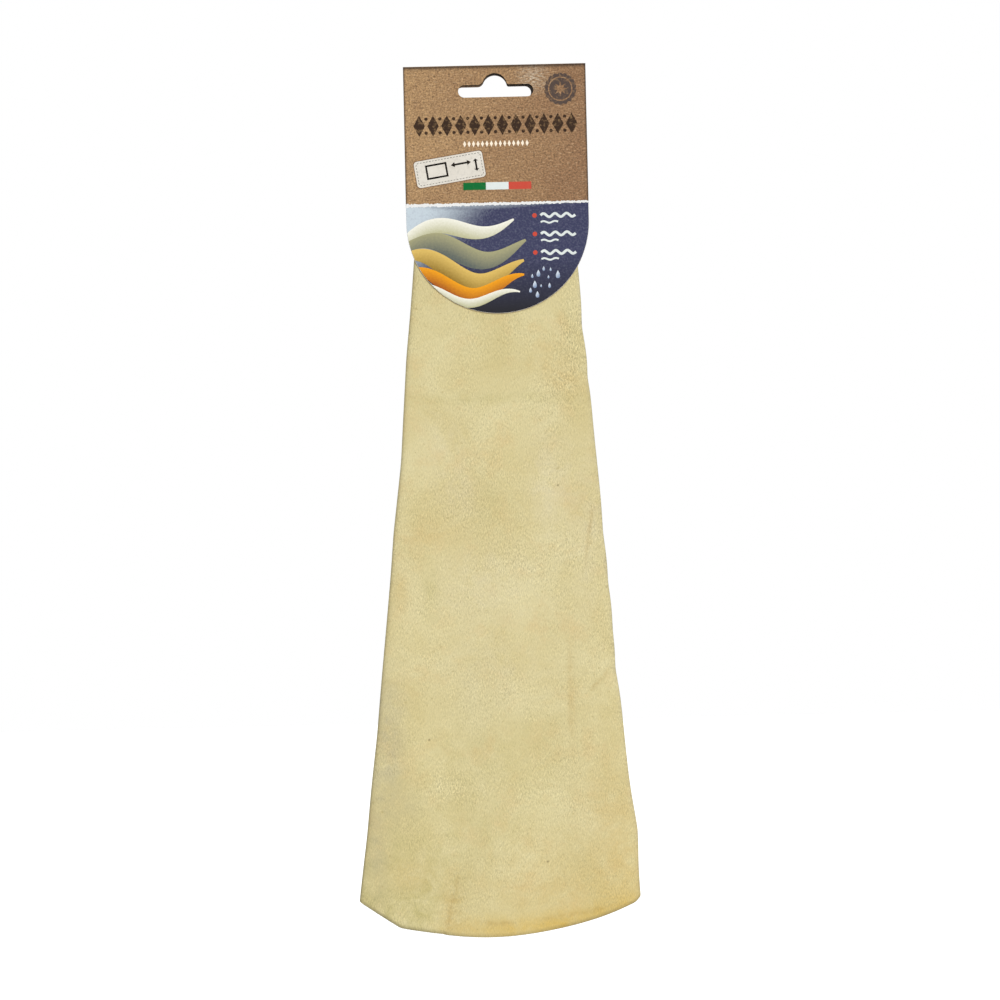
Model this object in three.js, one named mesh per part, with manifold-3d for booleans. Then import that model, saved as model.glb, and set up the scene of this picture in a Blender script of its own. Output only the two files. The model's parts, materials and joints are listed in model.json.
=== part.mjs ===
import * as THREE from "three";
import { mergeVertices } from "three/addons/utils/BufferGeometryUtils.js";
import Module from "manifold-3d";

// Chamois skin hung from a folded header card. Millimetres, +Z up, the front faces -Y.
// The origin is where a peg carries the card: the crown of the hang slot, midway between the leaves.

// Header card
const cardWidth = 79;
const cardHeight = 107;
const boardThickness = 0.5;
const foldAboveCrown = 3.8;
const foldInnerGap = 0.3;
const creaseGap = 0.3;
const bulgeStart = 14;
const bulgeLength = 46;

// Hang slot, the same punch in both leaves
const slotWidth = 32;
const slotHeight = 5.1;
const humpRadius = 5;
const humpFillet = 1.2;
const backSlotDrop = 0.5;

// Chamois skin, flat size and how it is folded
const sheetWidth = 200;
const sheetLength = 307;
const leatherThickness = 0.8;
const layerGap = 0.3;
const tuckLength = 37;
const frontTopWidth = 68.3;
const frontHemWidth = 121.6;
const frontTopShift = -1.2;
const frontHemShift = -5.5;
const leftBow = 1.6;
const hemRadius = 150;
const hemLowX = -10;
const hemCornerRise = 16.5;
const leftCutWidth = 18.4;
const leftCutRise = 12;
const flapInset = 3;
const rippleDepth = 0.9;
const rippleCount = 2.5;

// Where the skin bends below the card
const bendBelowTongue = 2.8;
const bendClearance = 0.3;

// Staples
const wireThickness = 0.5;
const wireWidth = 0.7;
const stapleCrown = 12;
const staplePitch = 28;
const stapleAboveTip = 19;
const clinchLength = 4;
const crownStandOff = 0.2;
const clinchGap = 0.15;
const stapleCorner = 0.4;
const stapleClearance = 0.25;
const leafClearance = 0.45;

// Heights and depths that follow from the sizes above
const foldZ = foldAboveCrown;
const tipZ = foldZ - cardHeight;
const tongueRadius = cardWidth / 2;
const layerPitch = leatherThickness + layerGap;
const stackHalf = layerPitch + leatherThickness / 2;
const leafInner = stackHalf + leafClearance;
const leafOuter = leafInner + boardThickness;
const skinTopZ = tipZ + tuckLength;
const hemLowZ = skinTopZ - sheetLength;
const bendZ = tipZ - bendBelowTongue;
const stapledEndZ = bendZ + stackHalf + bendClearance;
const stapleZ = tipZ + stapleAboveTip;

const wasm = await Module();
wasm.setup();

function solidFrom(geometry) {
  const bare = geometry.clone();
  bare.deleteAttribute("normal");
  bare.deleteAttribute("uv");
  const merged = mergeVertices(bare, 1e-4);
  const mesh = new wasm.Mesh({
    numProp: 3,
    vertProperties: new Float32Array(merged.attributes.position.array),
    triVerts: new Uint32Array(merged.index.array),
  });
  return new wasm.Manifold(mesh);
}

function geometryFrom(solid) {
  const mesh = solid.getMesh();
  const geometry = new THREE.BufferGeometry();
  geometry.setAttribute("position", new THREE.BufferAttribute(mesh.vertProperties, 3));
  geometry.setIndex(new THREE.BufferAttribute(mesh.triVerts, 1));
  return geometry;
}

function smooth(t) {
  const u = THREE.MathUtils.clamp(t, 0, 1);
  return u * u * (3 - 2 * u);
}

// A shape drawn in X and Z, given depth along Y
function prismAlongY(shape, yFrom, yTo, curveSegments) {
  const geometry = new THREE.ExtrudeGeometry(shape, {
    depth: yTo - yFrom,
    bevelEnabled: false,
    curveSegments,
  });
  geometry.applyMatrix4(
    new THREE.Matrix4().makeBasis(
      new THREE.Vector3(1, 0, 0),
      new THREE.Vector3(0, 0, 1),
      new THREE.Vector3(0, -1, 0),
    ),
  );
  geometry.translate(0, yTo, 0);
  return geometry;
}

// A shape drawn in Y and Z, given width along X about the middle
function prismAlongX(shape, width) {
  const geometry = new THREE.ExtrudeGeometry(shape, { depth: width, bevelEnabled: false });
  geometry.applyMatrix4(
    new THREE.Matrix4().makeBasis(
      new THREE.Vector3(0, 1, 0),
      new THREE.Vector3(0, 0, 1),
      new THREE.Vector3(1, 0, 0),
    ),
  );
  geometry.translate(-width / 2, 0, 0);
  return geometry;
}

// Hang slot: a long round-ended slot with a half-round hump over its middle
function slotPath(drop) {
  const path = new THREE.Path();
  const top = -humpRadius - drop;
  const middle = top - slotHeight / 2;
  const endRadius = slotHeight / 2;
  const half = slotWidth / 2 - endRadius;
  const filletX = Math.sqrt((humpRadius + humpFillet) ** 2 - humpFillet ** 2);
  const tilt = Math.atan2(humpFillet, filletX);
  path.moveTo(-half, middle - endRadius);
  path.lineTo(half, middle - endRadius);
  path.absarc(half, middle, endRadius, -Math.PI / 2, Math.PI / 2, false);
  path.lineTo(filletX, top);
  path.absarc(filletX, top + humpFillet, humpFillet, -Math.PI / 2, -Math.PI + tilt, true);
  path.absarc(0, top, humpRadius, tilt, Math.PI - tilt, false);
  path.absarc(-filletX, top + humpFillet, humpFillet, -tilt, -Math.PI / 2, true);
  path.lineTo(-half, top);
  path.absarc(-half, middle, endRadius, Math.PI / 2, Math.PI * 1.5, false);
  return path;
}

function cardOutline(slotDrop) {
  const shape = new THREE.Shape();
  const side = cardWidth / 2;
  const turnZ = tipZ + tongueRadius;
  shape.moveTo(-side, foldZ + 1);
  shape.lineTo(-side, turnZ);
  shape.absarc(0, turnZ, tongueRadius, Math.PI, 2 * Math.PI, false);
  shape.lineTo(side, foldZ + 1);
  shape.holes.push(slotPath(slotDrop));
  return shape;
}

// Distance of a leaf's inner face from the middle plane, at a depth below the crease
function leafFace(below) {
  const bulge = smooth((below - bulgeStart) / bulgeLength);
  return THREE.MathUtils.lerp(foldInnerGap / 2, leafInner, bulge);
}

// Side view of one leaf: a quarter-round crease, then a strip that bulges to clear the skin
function leafProfile(side) {
  const innerRadius = foldInnerGap / 2;
  const outerRadius = innerRadius + boardThickness;
  const turnSteps = 5;
  const bulgeSteps = 12;
  const outer = [];
  const inner = [];
  for (let i = 0; i <= turnSteps; i += 1) {
    const angle = (Math.PI / 2) * (1 - i / turnSteps);
    const reach = Math.cos(angle);
    const rise = outerRadius - outerRadius * Math.sin(angle);
    outer.push([outerRadius * reach, rise]);
    inner.push([innerRadius * reach, outerRadius - innerRadius * Math.sin(angle)]);
  }
  for (let i = 0; i <= bulgeSteps; i += 1) {
    const below = bulgeStart + (bulgeLength * i) / bulgeSteps;
    outer.push([leafFace(below) + boardThickness, below]);
    inner.push([leafFace(below), below]);
  }
  outer.push([leafOuter, cardHeight + 1]);
  inner.push([leafInner, cardHeight + 1]);
  const shape = new THREE.Shape();
  const points = [...outer, ...inner.reverse()];
  shape.setFromPoints(points.map(([y, below]) => new THREE.Vector2(side * y, foldZ - below)));
  return shape;
}

function buildLeaf(side, slotDrop) {
  const strip = solidFrom(prismAlongX(leafProfile(side), cardWidth + 2));
  const outline = solidFrom(prismAlongY(cardOutline(slotDrop), -leafOuter - 1, leafOuter + 1, 24));
  const halfSpace = new THREE.BoxGeometry(cardWidth + 4, leafOuter + 2, cardHeight + 8);
  const reach = (leafOuter + 2 + creaseGap) / 2;
  halfSpace.translate(0, side * reach, foldZ - cardHeight / 2);
  return strip.intersect(outline).intersect(solidFrom(halfSpace));
}

// Fold lines of the skin, seen from the front, at a share of the way from its top to its hem corners
function foldShare(z) {
  return (skinTopZ - z) / (sheetLength - hemCornerRise);
}

function leftFoldX(z) {
  const t = foldShare(z);
  const topX = frontTopShift - frontTopWidth / 2;
  const hemX = frontHemShift - frontHemWidth / 2;
  const bow = leftBow * Math.sin(Math.PI * THREE.MathUtils.clamp(t, 0, 1));
  return THREE.MathUtils.lerp(topX, hemX, t) + bow;
}

function rightFoldX(z) {
  const topX = frontTopShift + frontTopWidth / 2;
  const hemX = frontHemShift + frontHemWidth / 2;
  return THREE.MathUtils.lerp(topX, hemX, foldShare(z));
}

// Flap width on each side: what the front panel leaves of the sheet, shared evenly, and never so wide
// that a flap would meet the turn of the other fold
function flapWidth(z) {
  const panel = rightFoldX(z) - leftFoldX(z);
  return Math.min((sheetWidth - panel) / 2, panel - 2 * layerPitch);
}

// Lower edge of the skin: a shallow arc, its left corner cut off straight
function hemZ(x) {
  const arc = (at) => hemLowZ + hemRadius - Math.sqrt(hemRadius ** 2 - (at - hemLowX) ** 2);
  const leftCorner = leftFoldX(hemLowZ + hemCornerRise);
  const cutX = leftCorner + leftCutWidth;
  if (x >= cutX) return arc(x);
  return arc(cutX) + (leftCutRise * (cutX - x)) / leftCutWidth;
}

// How far back the left flap lies: behind the right flap where they overlap, closer below that
function leftFlapDepth(z) {
  const overlap = 2 * flapWidth(z) - (rightFoldX(z) - leftFoldX(z));
  return layerPitch * smooth((overlap + 60) / 60);
}

function ripple(x, z) {
  const below = smooth((bendZ - 15 - z) / (sheetLength * 0.6));
  const across = (x - leftFoldX(z)) / (rightFoldX(z) - leftFoldX(z));
  return -rippleDepth * below * Math.sin(2 * Math.PI * rippleCount * across);
}

// Columns across the sheet, from the left flap's free edge to the right flap's
function sheetColumns() {
  const columns = [];
  const flapSteps = 5;
  const turnSteps = 6;
  const frontSteps = 14;
  for (let i = 0; i < flapSteps; i += 1) columns.push({ part: "leftFlap", t: i / flapSteps });
  for (let i = 0; i < turnSteps; i += 1) columns.push({ part: "leftTurn", t: i / turnSteps });
  for (let i = 0; i < frontSteps; i += 1) columns.push({ part: "front", t: i / frontSteps });
  for (let i = 0; i < turnSteps; i += 1) columns.push({ part: "rightTurn", t: i / turnSteps });
  for (let i = 0; i <= flapSteps; i += 1) columns.push({ part: "rightFlap", t: i / flapSteps });
  return columns;
}

// Middle of the sheet at one column and height: place, and the way its outer side faces
function sheetPoint(column, z) {
  const frontY = -layerPitch;
  const leftY = leftFlapDepth(z);
  const leftRadius = (leftY - frontY) / 2;
  const rightRadius = layerPitch / 2;
  const left = leftFoldX(z) + leatherThickness / 2;
  const right = rightFoldX(z) - leatherThickness / 2;
  const flap = flapWidth(z);
  const { part, t } = column;
  if (part === "leftFlap") {
    return { x: THREE.MathUtils.lerp(left + flap, left + leftRadius, t), y: leftY, nx: 0, ny: 1 };
  }
  if (part === "leftTurn") {
    const angle = Math.PI / 2 + Math.PI * t;
    const nx = Math.cos(angle);
    const ny = Math.sin(angle);
    const middleY = (frontY + leftY) / 2;
    return { x: left + leftRadius + leftRadius * nx, y: middleY + leftRadius * ny, nx, ny };
  }
  if (part === "front") {
    const x = THREE.MathUtils.lerp(left + leftRadius, right - rightRadius, t);
    return { x, y: frontY, nx: 0, ny: -1 };
  }
  if (part === "rightTurn") {
    const angle = -Math.PI / 2 + Math.PI * t;
    const nx = Math.cos(angle);
    const ny = Math.sin(angle);
    const middleY = frontY / 2;
    return { x: right - rightRadius + rightRadius * nx, y: middleY + rightRadius * ny, nx, ny };
  }
  return { x: THREE.MathUtils.lerp(right - rightRadius, right - flap, t), y: 0, nx: 0, ny: 1 };
}

// Upper edge of a flap drops away from its fold, as the folded-over edge of a straight-cut sheet does
function topEdgeZ(column) {
  const lean = (foldX) => Math.abs(foldX(skinTopZ) - foldX(skinTopZ - 1));
  const inward = flapWidth(skinTopZ);
  if (column.part === "leftFlap") return skinTopZ - 2 * lean(leftFoldX) * inward * (1 - column.t);
  if (column.part === "rightFlap") return skinTopZ - 2 * lean(rightFoldX) * inward * column.t;
  return skinTopZ;
}

function lowerEdgeZ(column) {
  const x = sheetPoint(column, hemLowZ + hemCornerRise).x;
  const inset = column.part.endsWith("Flap") ? flapInset : 0;
  return hemZ(x) + inset;
}

// The hanging part starts inside a circle about the bend, so that it clears the stapled end as it swings
function bendEdgeZ(column) {
  const reach = Math.abs(sheetPoint(column, bendZ).y) + leatherThickness / 2;
  return bendZ + Math.sqrt(Math.max(stackHalf ** 2 - reach ** 2, 0));
}

function sheetGeometry(upperZ, lowerZ, rows, rippled) {
  const columns = sheetColumns();
  const across = columns.length;
  const layerSize = across * (rows + 1);
  const position = [];
  for (const side of [1, -1]) {
    for (let i = 0; i <= rows; i += 1) {
      for (const column of columns) {
        const z = THREE.MathUtils.lerp(upperZ(column), lowerZ(column), i / rows);
        const at = sheetPoint(column, z);
        const wave = rippled ? ripple(at.x, z) : 0;
        const offset = (side * leatherThickness) / 2;
        position.push(at.x + at.nx * offset, at.y + at.ny * offset + wave, z);
      }
    }
  }
  const index = [];
  const quad = (a, b, c, d) => index.push(a, b, c, a, c, d);
  const at = (i, j) => i * across + j;
  for (let i = 0; i < rows; i += 1) {
    for (let j = 0; j < across - 1; j += 1) {
      quad(at(i, j), at(i + 1, j), at(i + 1, j + 1), at(i, j + 1));
      const back = [at(i, j + 1), at(i + 1, j + 1), at(i + 1, j), at(i, j)];
      quad(...back.map((v) => v + layerSize));
    }
  }
  for (let j = 0; j < across - 1; j += 1) {
    quad(at(0, j), at(0, j + 1), at(0, j + 1) + layerSize, at(0, j) + layerSize);
    quad(at(rows, j + 1), at(rows, j), at(rows, j) + layerSize, at(rows, j + 1) + layerSize);
  }
  const last = across - 1;
  for (let i = 0; i < rows; i += 1) {
    quad(at(i + 1, 0), at(i, 0), at(i, 0) + layerSize, at(i + 1, 0) + layerSize);
    quad(at(i, last), at(i + 1, last), at(i + 1, last) + layerSize, at(i, last) + layerSize);
  }
  const geometry = new THREE.BufferGeometry();
  geometry.setAttribute("position", new THREE.Float32BufferAttribute(position, 3));
  geometry.setIndex(index);
  return geometry;
}

// Staple seen from above: crown on the skin, legs through the back leaf, ends clinched inwards.
// Grown outwards by a clearance, the same outline cuts the holes it needs.
function stapleShape(grow) {
  const half = stapleCrown / 2 + grow;
  const crownY = -stackHalf - crownStandOff - grow;
  const crownInnerY = crownY + wireThickness + 2 * grow;
  const backY = leafOuter + clinchGap + wireThickness + grow;
  const backInnerY = backY - wireThickness - 2 * grow;
  const legInner = half - wireThickness - 2 * grow;
  const tipX = stapleCrown / 2 - wireThickness - clinchLength - grow;
  const round = stapleCorner;
  const shape = new THREE.Shape();
  shape.moveTo(-half + round, crownY);
  shape.lineTo(half - round, crownY);
  shape.quadraticCurveTo(half, crownY, half, crownY + round);
  shape.lineTo(half, backY - round);
  shape.quadraticCurveTo(half, backY, half - round, backY);
  shape.lineTo(tipX, backY);
  shape.lineTo(tipX, backInnerY);
  shape.lineTo(legInner, backInnerY);
  shape.lineTo(legInner, crownInnerY);
  shape.lineTo(-legInner, crownInnerY);
  shape.lineTo(-legInner, backInnerY);
  shape.lineTo(-tipX, backInnerY);
  shape.lineTo(-tipX, backY);
  shape.lineTo(-half + round, backY);
  shape.quadraticCurveTo(-half, backY, -half, backY - round);
  shape.lineTo(-half, crownY + round);
  shape.quadraticCurveTo(-half, crownY, -half + round, crownY);
  return shape;
}

function stapleGeometry(x, grow) {
  const height = wireWidth + 2 * grow;
  const geometry = new THREE.ExtrudeGeometry(stapleShape(grow), {
    depth: height,
    bevelEnabled: false,
    curveSegments: 4,
  });
  geometry.translate(x, 0, stapleZ - height / 2);
  return geometry;
}

const kraftBoard = new THREE.MeshStandardMaterial({ name: "kraft_board", color: 0xa9835a, roughness: 0.85 });
const chamois = new THREE.MeshStandardMaterial({ name: "chamois", color: 0xd9cc99, roughness: 0.95 });
const zincWire = new THREE.MeshStandardMaterial({
  name: "zinc_wire",
  color: 0xb4b6b8,
  metalness: 1,
  roughness: 0.35,
});

const part = new THREE.Group();
part.name = "chamois_leather";

function addMesh(name, geometry, material) {
  const bare = geometry.index ? geometry.clone() : mergeVertices(geometry, 1e-4);
  const mesh = new THREE.Mesh(bare, material);
  mesh.name = name;
  part.add(mesh);
}

const stapleX = [-staplePitch / 2, staplePitch / 2];
let backLeaf = buildLeaf(1, backSlotDrop);
let stapledEnd = solidFrom(sheetGeometry(topEdgeZ, () => stapledEndZ, 6, false));
for (const x of stapleX) {
  const hole = solidFrom(stapleGeometry(x, stapleClearance));
  backLeaf = backLeaf.subtract(hole);
  stapledEnd = stapledEnd.subtract(hole);
}

addMesh("front_leaf", geometryFrom(buildLeaf(-1, 0)), kraftBoard);
addMesh("back_leaf", geometryFrom(backLeaf), kraftBoard);
addMesh("skin_stapled_end", geometryFrom(stapledEnd), chamois);
addMesh("skin_hanging", sheetGeometry(bendEdgeZ, lowerEdgeZ, 14, true), chamois);
addMesh("staple_left", geometryFrom(solidFrom(stapleGeometry(stapleX[0], 0))), zincWire);
addMesh("staple_right", geometryFrom(solidFrom(stapleGeometry(stapleX[1], 0))), zincWire);

export default part;
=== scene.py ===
import json
import math

import bpy
import numpy as np
from mathutils import Matrix, Vector, noise
from mathutils.geometry import delaunay_2d_cdt


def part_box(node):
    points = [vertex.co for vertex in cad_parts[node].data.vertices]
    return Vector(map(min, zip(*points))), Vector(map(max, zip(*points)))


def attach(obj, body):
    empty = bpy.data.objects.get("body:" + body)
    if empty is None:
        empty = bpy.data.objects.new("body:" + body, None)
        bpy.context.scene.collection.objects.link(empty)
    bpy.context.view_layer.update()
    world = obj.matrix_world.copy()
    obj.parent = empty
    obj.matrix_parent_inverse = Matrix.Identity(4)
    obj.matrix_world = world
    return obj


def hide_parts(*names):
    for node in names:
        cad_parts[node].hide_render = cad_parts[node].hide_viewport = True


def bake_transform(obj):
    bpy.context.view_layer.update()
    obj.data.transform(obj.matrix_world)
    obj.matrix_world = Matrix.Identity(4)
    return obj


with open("model.json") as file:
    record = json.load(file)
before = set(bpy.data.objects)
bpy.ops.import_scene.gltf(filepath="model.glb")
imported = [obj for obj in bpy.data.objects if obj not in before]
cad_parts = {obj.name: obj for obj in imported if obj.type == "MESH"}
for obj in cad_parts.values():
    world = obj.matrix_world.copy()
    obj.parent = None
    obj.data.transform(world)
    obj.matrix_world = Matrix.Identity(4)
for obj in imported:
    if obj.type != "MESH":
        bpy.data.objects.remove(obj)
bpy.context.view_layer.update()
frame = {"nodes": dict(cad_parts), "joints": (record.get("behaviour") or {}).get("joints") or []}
joints = {j["name"]: j for j in frame["joints"]}
mm = 0.001
print("frame loaded:", sorted(frame["nodes"]))


def linearColor(hexText):
    values = [int(hexText[i:i + 2], 16) / 255 for i in (1, 3, 5)]
    return [v / 12.92 if v <= 0.04045 else ((v + 0.055) / 1.055) ** 2.4 for v in values] + [1.0]


def setNode(tree, node, settings=None, links=None):
    # a link comes from a socket, or from a node that stands for its first live output
    for key, value in (settings or {}).items():
        if isinstance(key, int) or key in node.inputs:
            node.inputs[key].default_value = value
        else:
            setattr(node, key, value)
    for key, source in (links or {}).items():
        if isinstance(source, bpy.types.Node):
            source = next(socket for socket in source.outputs if socket.enabled)
        tree.links.new(source, node.inputs[key])
    return node


def addNode(tree, kind, settings=None, links=None):
    return setNode(tree, tree.nodes.new(kind), settings, links)


def newMaterial(name):
    material = bpy.data.materials.new(name)
    material.use_nodes = True
    return material, material.node_tree, material.node_tree.nodes["Principled BSDF"]


def smooth(t):
    u = np.clip(t, 0.0, 1.0)
    return u * u * (3 - 2 * u)


def ramp(value, start, length):
    # 0 up to start, 1 from a length past it, and a soft rise between
    return smooth((value - start) / length)


def bell(away, reach):
    return np.exp(-(away / reach) ** 2)


def lerp(a, b, t):
    return a + (b - a) * t


def softNoise(points, size, seed):
    # smooth noise from -1 to 1, one value a point, with bumps about size apart
    shift = Vector((seed * 17.3, seed * 5.1, seed * 9.7))
    return np.array([noise.noise(Vector(p) / size + shift) for p in points])


def addObject(name, data):
    made = bpy.data.objects.new(name, data)
    bpy.context.scene.collection.objects.link(made)
    return made


def meshObject(name, points, faces, materials, faceSlots=None):
    mesh = bpy.data.meshes.new(name)
    mesh.from_pydata([Vector(p) * mm for p in points], [], faces)
    for material in materials:
        mesh.materials.append(material)
    if faceSlots is not None:
        mesh.polygons.foreach_set("material_index", faceSlots)
    mesh.polygons.foreach_set("use_smooth", [True] * len(mesh.polygons))
    mesh.validate()
    return addObject(name, mesh)


def addFlatMap(piece, name, flat):
    # a UV map in metres of the flat sheet, so a pattern's scale is a real size
    layer = piece.data.uv_layers.new(name=name)
    corners = np.zeros(len(piece.data.loops), dtype=np.int32)
    piece.data.loops.foreach_get("vertex_index", corners)
    layer.uv.foreach_set("vector", (np.asarray(flat) * mm)[corners].astype(np.float32).ravel())


def addPointValue(piece, name, values):
    attribute = piece.data.attributes.new(name, "FLOAT", "POINT")
    attribute.data.foreach_set("value", np.asarray(values, dtype=np.float32))


def bakeNodes(base, tree, values):
    # the plain mesh that a node tree makes from a base object; the base is then removed
    modifier = base.modifiers.new("nodes", "NODES")
    modifier.node_group = tree
    for item in tree.interface.items_tree:
        if item.in_out == "INPUT" and item.name in values:
            modifier[item.identifier] = values[item.name]
    bpy.context.view_layer.update()
    evaluated = base.evaluated_get(bpy.context.evaluated_depsgraph_get())
    mesh = bpy.data.meshes.new_from_object(evaluated)
    bpy.data.objects.remove(base)
    return mesh


def lineObject(name, path, closed=False):
    # a bare line of points for a node tree to follow
    mesh = bpy.data.meshes.new(name)
    edges = [(i, i + 1) for i in range(len(path) - 1)] + ([(len(path) - 1, 0)] if closed else [])
    mesh.from_pydata([Vector(p) * mm for p in path], edges, [])
    return addObject(name, mesh)


def newTree(name, sockets):
    # a tree with named inputs between its base and its material, and one geometry output
    tree = bpy.data.node_groups.new(name, "GeometryNodeTree")
    for label, kind in [("Geometry", "Geometry"), *sockets, ("Material", "Material")]:
        tree.interface.new_socket(label, in_out="INPUT", socket_type="NodeSocket" + kind)
    tree.interface.new_socket("Geometry", in_out="OUTPUT", socket_type="NodeSocketGeometry")
    return tree, addNode(tree, "NodeGroupInput").outputs


def endTree(tree, given, made):
    # every tree ends in real geometry with its material set
    real = addNode(tree, "GeometryNodeRealizeInstances", {}, {"Geometry": made})
    dressed = addNode(tree, "GeometryNodeSetMaterial", {}, {"Geometry": real, "Material": given["Material"]})
    addNode(tree, "NodeGroupOutput", {}, {"Geometry": dressed})
    return tree


def makeMotifTree():
    # a motif set at even steps along a line, turned to follow it
    tree, given = newTree("motif along a line", [("Motif", "Object"), ("Count", "Int")])
    path = addNode(tree, "GeometryNodeMeshToCurve", {}, {"Mesh": given["Geometry"]})
    spaced = addNode(tree, "GeometryNodeResampleCurve", {"mode": "COUNT"},
                     {"Curve": path, "Count": given["Count"]})
    motif = addNode(tree, "GeometryNodeObjectInfo", {}, {"Object": given["Motif"]})
    along = addNode(tree, "GeometryNodeInputTangent")
    turn = addNode(tree, "FunctionNodeAlignRotationToVector", {"axis": "X"}, {"Vector": along})
    placed = addNode(tree, "GeometryNodeInstanceOnPoints", {},
                     {"Points": spaced, "Instance": motif.outputs["Geometry"], "Rotation": turn})
    return endTree(tree, given, placed)


def makeScatterTree():
    # a motif strewn over a flat patch, none nearer than a gap, in seeded sizes
    tree, given = newTree("motif over a patch", [
        ("Motif", "Object"), ("Gap", "Float"), ("Density", "Float"), ("Smallest", "Float"),
        ("Largest", "Float"), ("Seed", "Int")])
    strewn = addNode(tree, "GeometryNodeDistributePointsOnFaces", {"distribute_method": "POISSON"},
                     {"Mesh": given["Geometry"], "Distance Min": given["Gap"],
                      "Density Max": given["Density"], "Seed": given["Seed"]})
    motif = addNode(tree, "GeometryNodeObjectInfo", {}, {"Object": given["Motif"]})
    size = addNode(tree, "FunctionNodeRandomValue", {"data_type": "FLOAT"},
                   {2: given["Smallest"], 3: given["Largest"], "Seed": given["Seed"]})
    scale = addNode(tree, "ShaderNodeCombineXYZ", {"Z": 1.0}, {"X": size, "Y": size})
    placed = addNode(tree, "GeometryNodeInstanceOnPoints", {},
                     {"Points": strewn, "Instance": motif.outputs["Geometry"], "Scale": scale})
    return endTree(tree, given, placed)


def makeFibreTree():
    # loose fibres at even steps along a cut edge, each leaning its own way
    tree, given = newTree("fibres along an edge", [
        ("Fibre", "Object"), ("Spacing", "Float"), ("Lean", "Vector"), ("Smallest", "Float"),
        ("Largest", "Float"), ("Seed", "Int")])
    path = addNode(tree, "GeometryNodeMeshToCurve", {}, {"Mesh": given["Geometry"]})
    spaced = addNode(tree, "GeometryNodeResampleCurve", {"mode": "LENGTH"},
                     {"Curve": path, "Length": given["Spacing"]})
    fibre = addNode(tree, "GeometryNodeObjectInfo", {}, {"Object": given["Fibre"]})
    other = addNode(tree, "ShaderNodeVectorMath", {"operation": "SCALE", "Scale": -1.0}, {0: given["Lean"]})
    lean = addNode(tree, "FunctionNodeRandomValue", {"data_type": "FLOAT_VECTOR"},
                   {0: other, 1: given["Lean"], "Seed": given["Seed"]})
    turn = addNode(tree, "FunctionNodeEulerToRotation", {}, {"Euler": lean})
    size = addNode(tree, "FunctionNodeRandomValue", {"data_type": "FLOAT"},
                   {2: given["Smallest"], 3: given["Largest"], "Seed": given["Seed"]})
    placed = addNode(tree, "GeometryNodeInstanceOnPoints", {},
                     {"Points": spaced, "Instance": fibre.outputs["Geometry"], "Rotation": turn,
                      "Scale": size})
    return endTree(tree, given, placed)


def makeWireTree():
    # flat wire swept along a bent path, with rounded bends, soft corners and closed ends
    tree, given = newTree("wire along a path", [
        ("Thickness", "Float"), ("Width", "Float"), ("Bend", "Float"), ("Soften", "Float")])
    path = addNode(tree, "GeometryNodeMeshToCurve", {}, {"Mesh": given["Geometry"]})
    bent = addNode(tree, "GeometryNodeFilletCurve", {"mode": "POLY", "Count": 5},
                   {"Curve": path, "Radius": given["Bend"]})
    level = addNode(tree, "GeometryNodeSetCurveNormal", {"mode": "Z_UP"}, {"Curve": bent})
    box = addNode(tree, "GeometryNodeCurvePrimitiveQuadrilateral", {"mode": "RECTANGLE"},
                  {"Width": given["Thickness"], "Height": given["Width"]})
    section = addNode(tree, "GeometryNodeFilletCurve", {"mode": "POLY", "Count": 3},
                      {"Curve": box, "Radius": given["Soften"]})
    swept = addNode(tree, "GeometryNodeCurveToMesh", {"Fill Caps": True},
                    {"Curve": level, "Profile Curve": section})
    return endTree(tree, given, swept)


motifTree = makeMotifTree()
scatterTree = makeScatterTree()
fibreTree = makeFibreTree()
wireTree = makeWireTree()
print("node trees ready")


def addPatterns(tree, flat, look):
    # a finish's noises, strokes turned and stretched first, and the shares its colours and bumps take of them
    noises, shares = {}, {}
    for name, (size, detail, roughness, distortion, *strokes) in look["noises"].items():
        place = flat
        if strokes:
            turn, stretch = strokes
            place = addNode(tree, "ShaderNodeMapping", {"Rotation": (0, 0, turn), "Scale": stretch},
                            {"Vector": flat})
        noises[name] = addNode(tree, "ShaderNodeTexNoise",
                               {"Scale": 1 / size, "Detail": detail, "Roughness": roughness,
                                "Distortion": distortion}, {"Vector": place})
    for name, (source, low, high, least, most) in look["shares"].items():
        shares[name] = addNode(tree, "ShaderNodeMapRange",
                               {"From Min": low, "From Max": high, "To Min": least, "To Max": most},
                               {"Value": noises[source]})
    return noises, shares


def layTints(tree, share, first, second, tints):
    # a ground between two colours, then each tint over it by its own share
    color = addNode(tree, "ShaderNodeMix",
                    {"data_type": "RGBA", 6: linearColor(first), 7: linearColor(second)}, {0: share})
    for share, tint in tints:
        color = addNode(tree, "ShaderNodeMix", {"data_type": "RGBA", 7: linearColor(tint)},
                        {0: share, 6: color})
    return color


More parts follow.
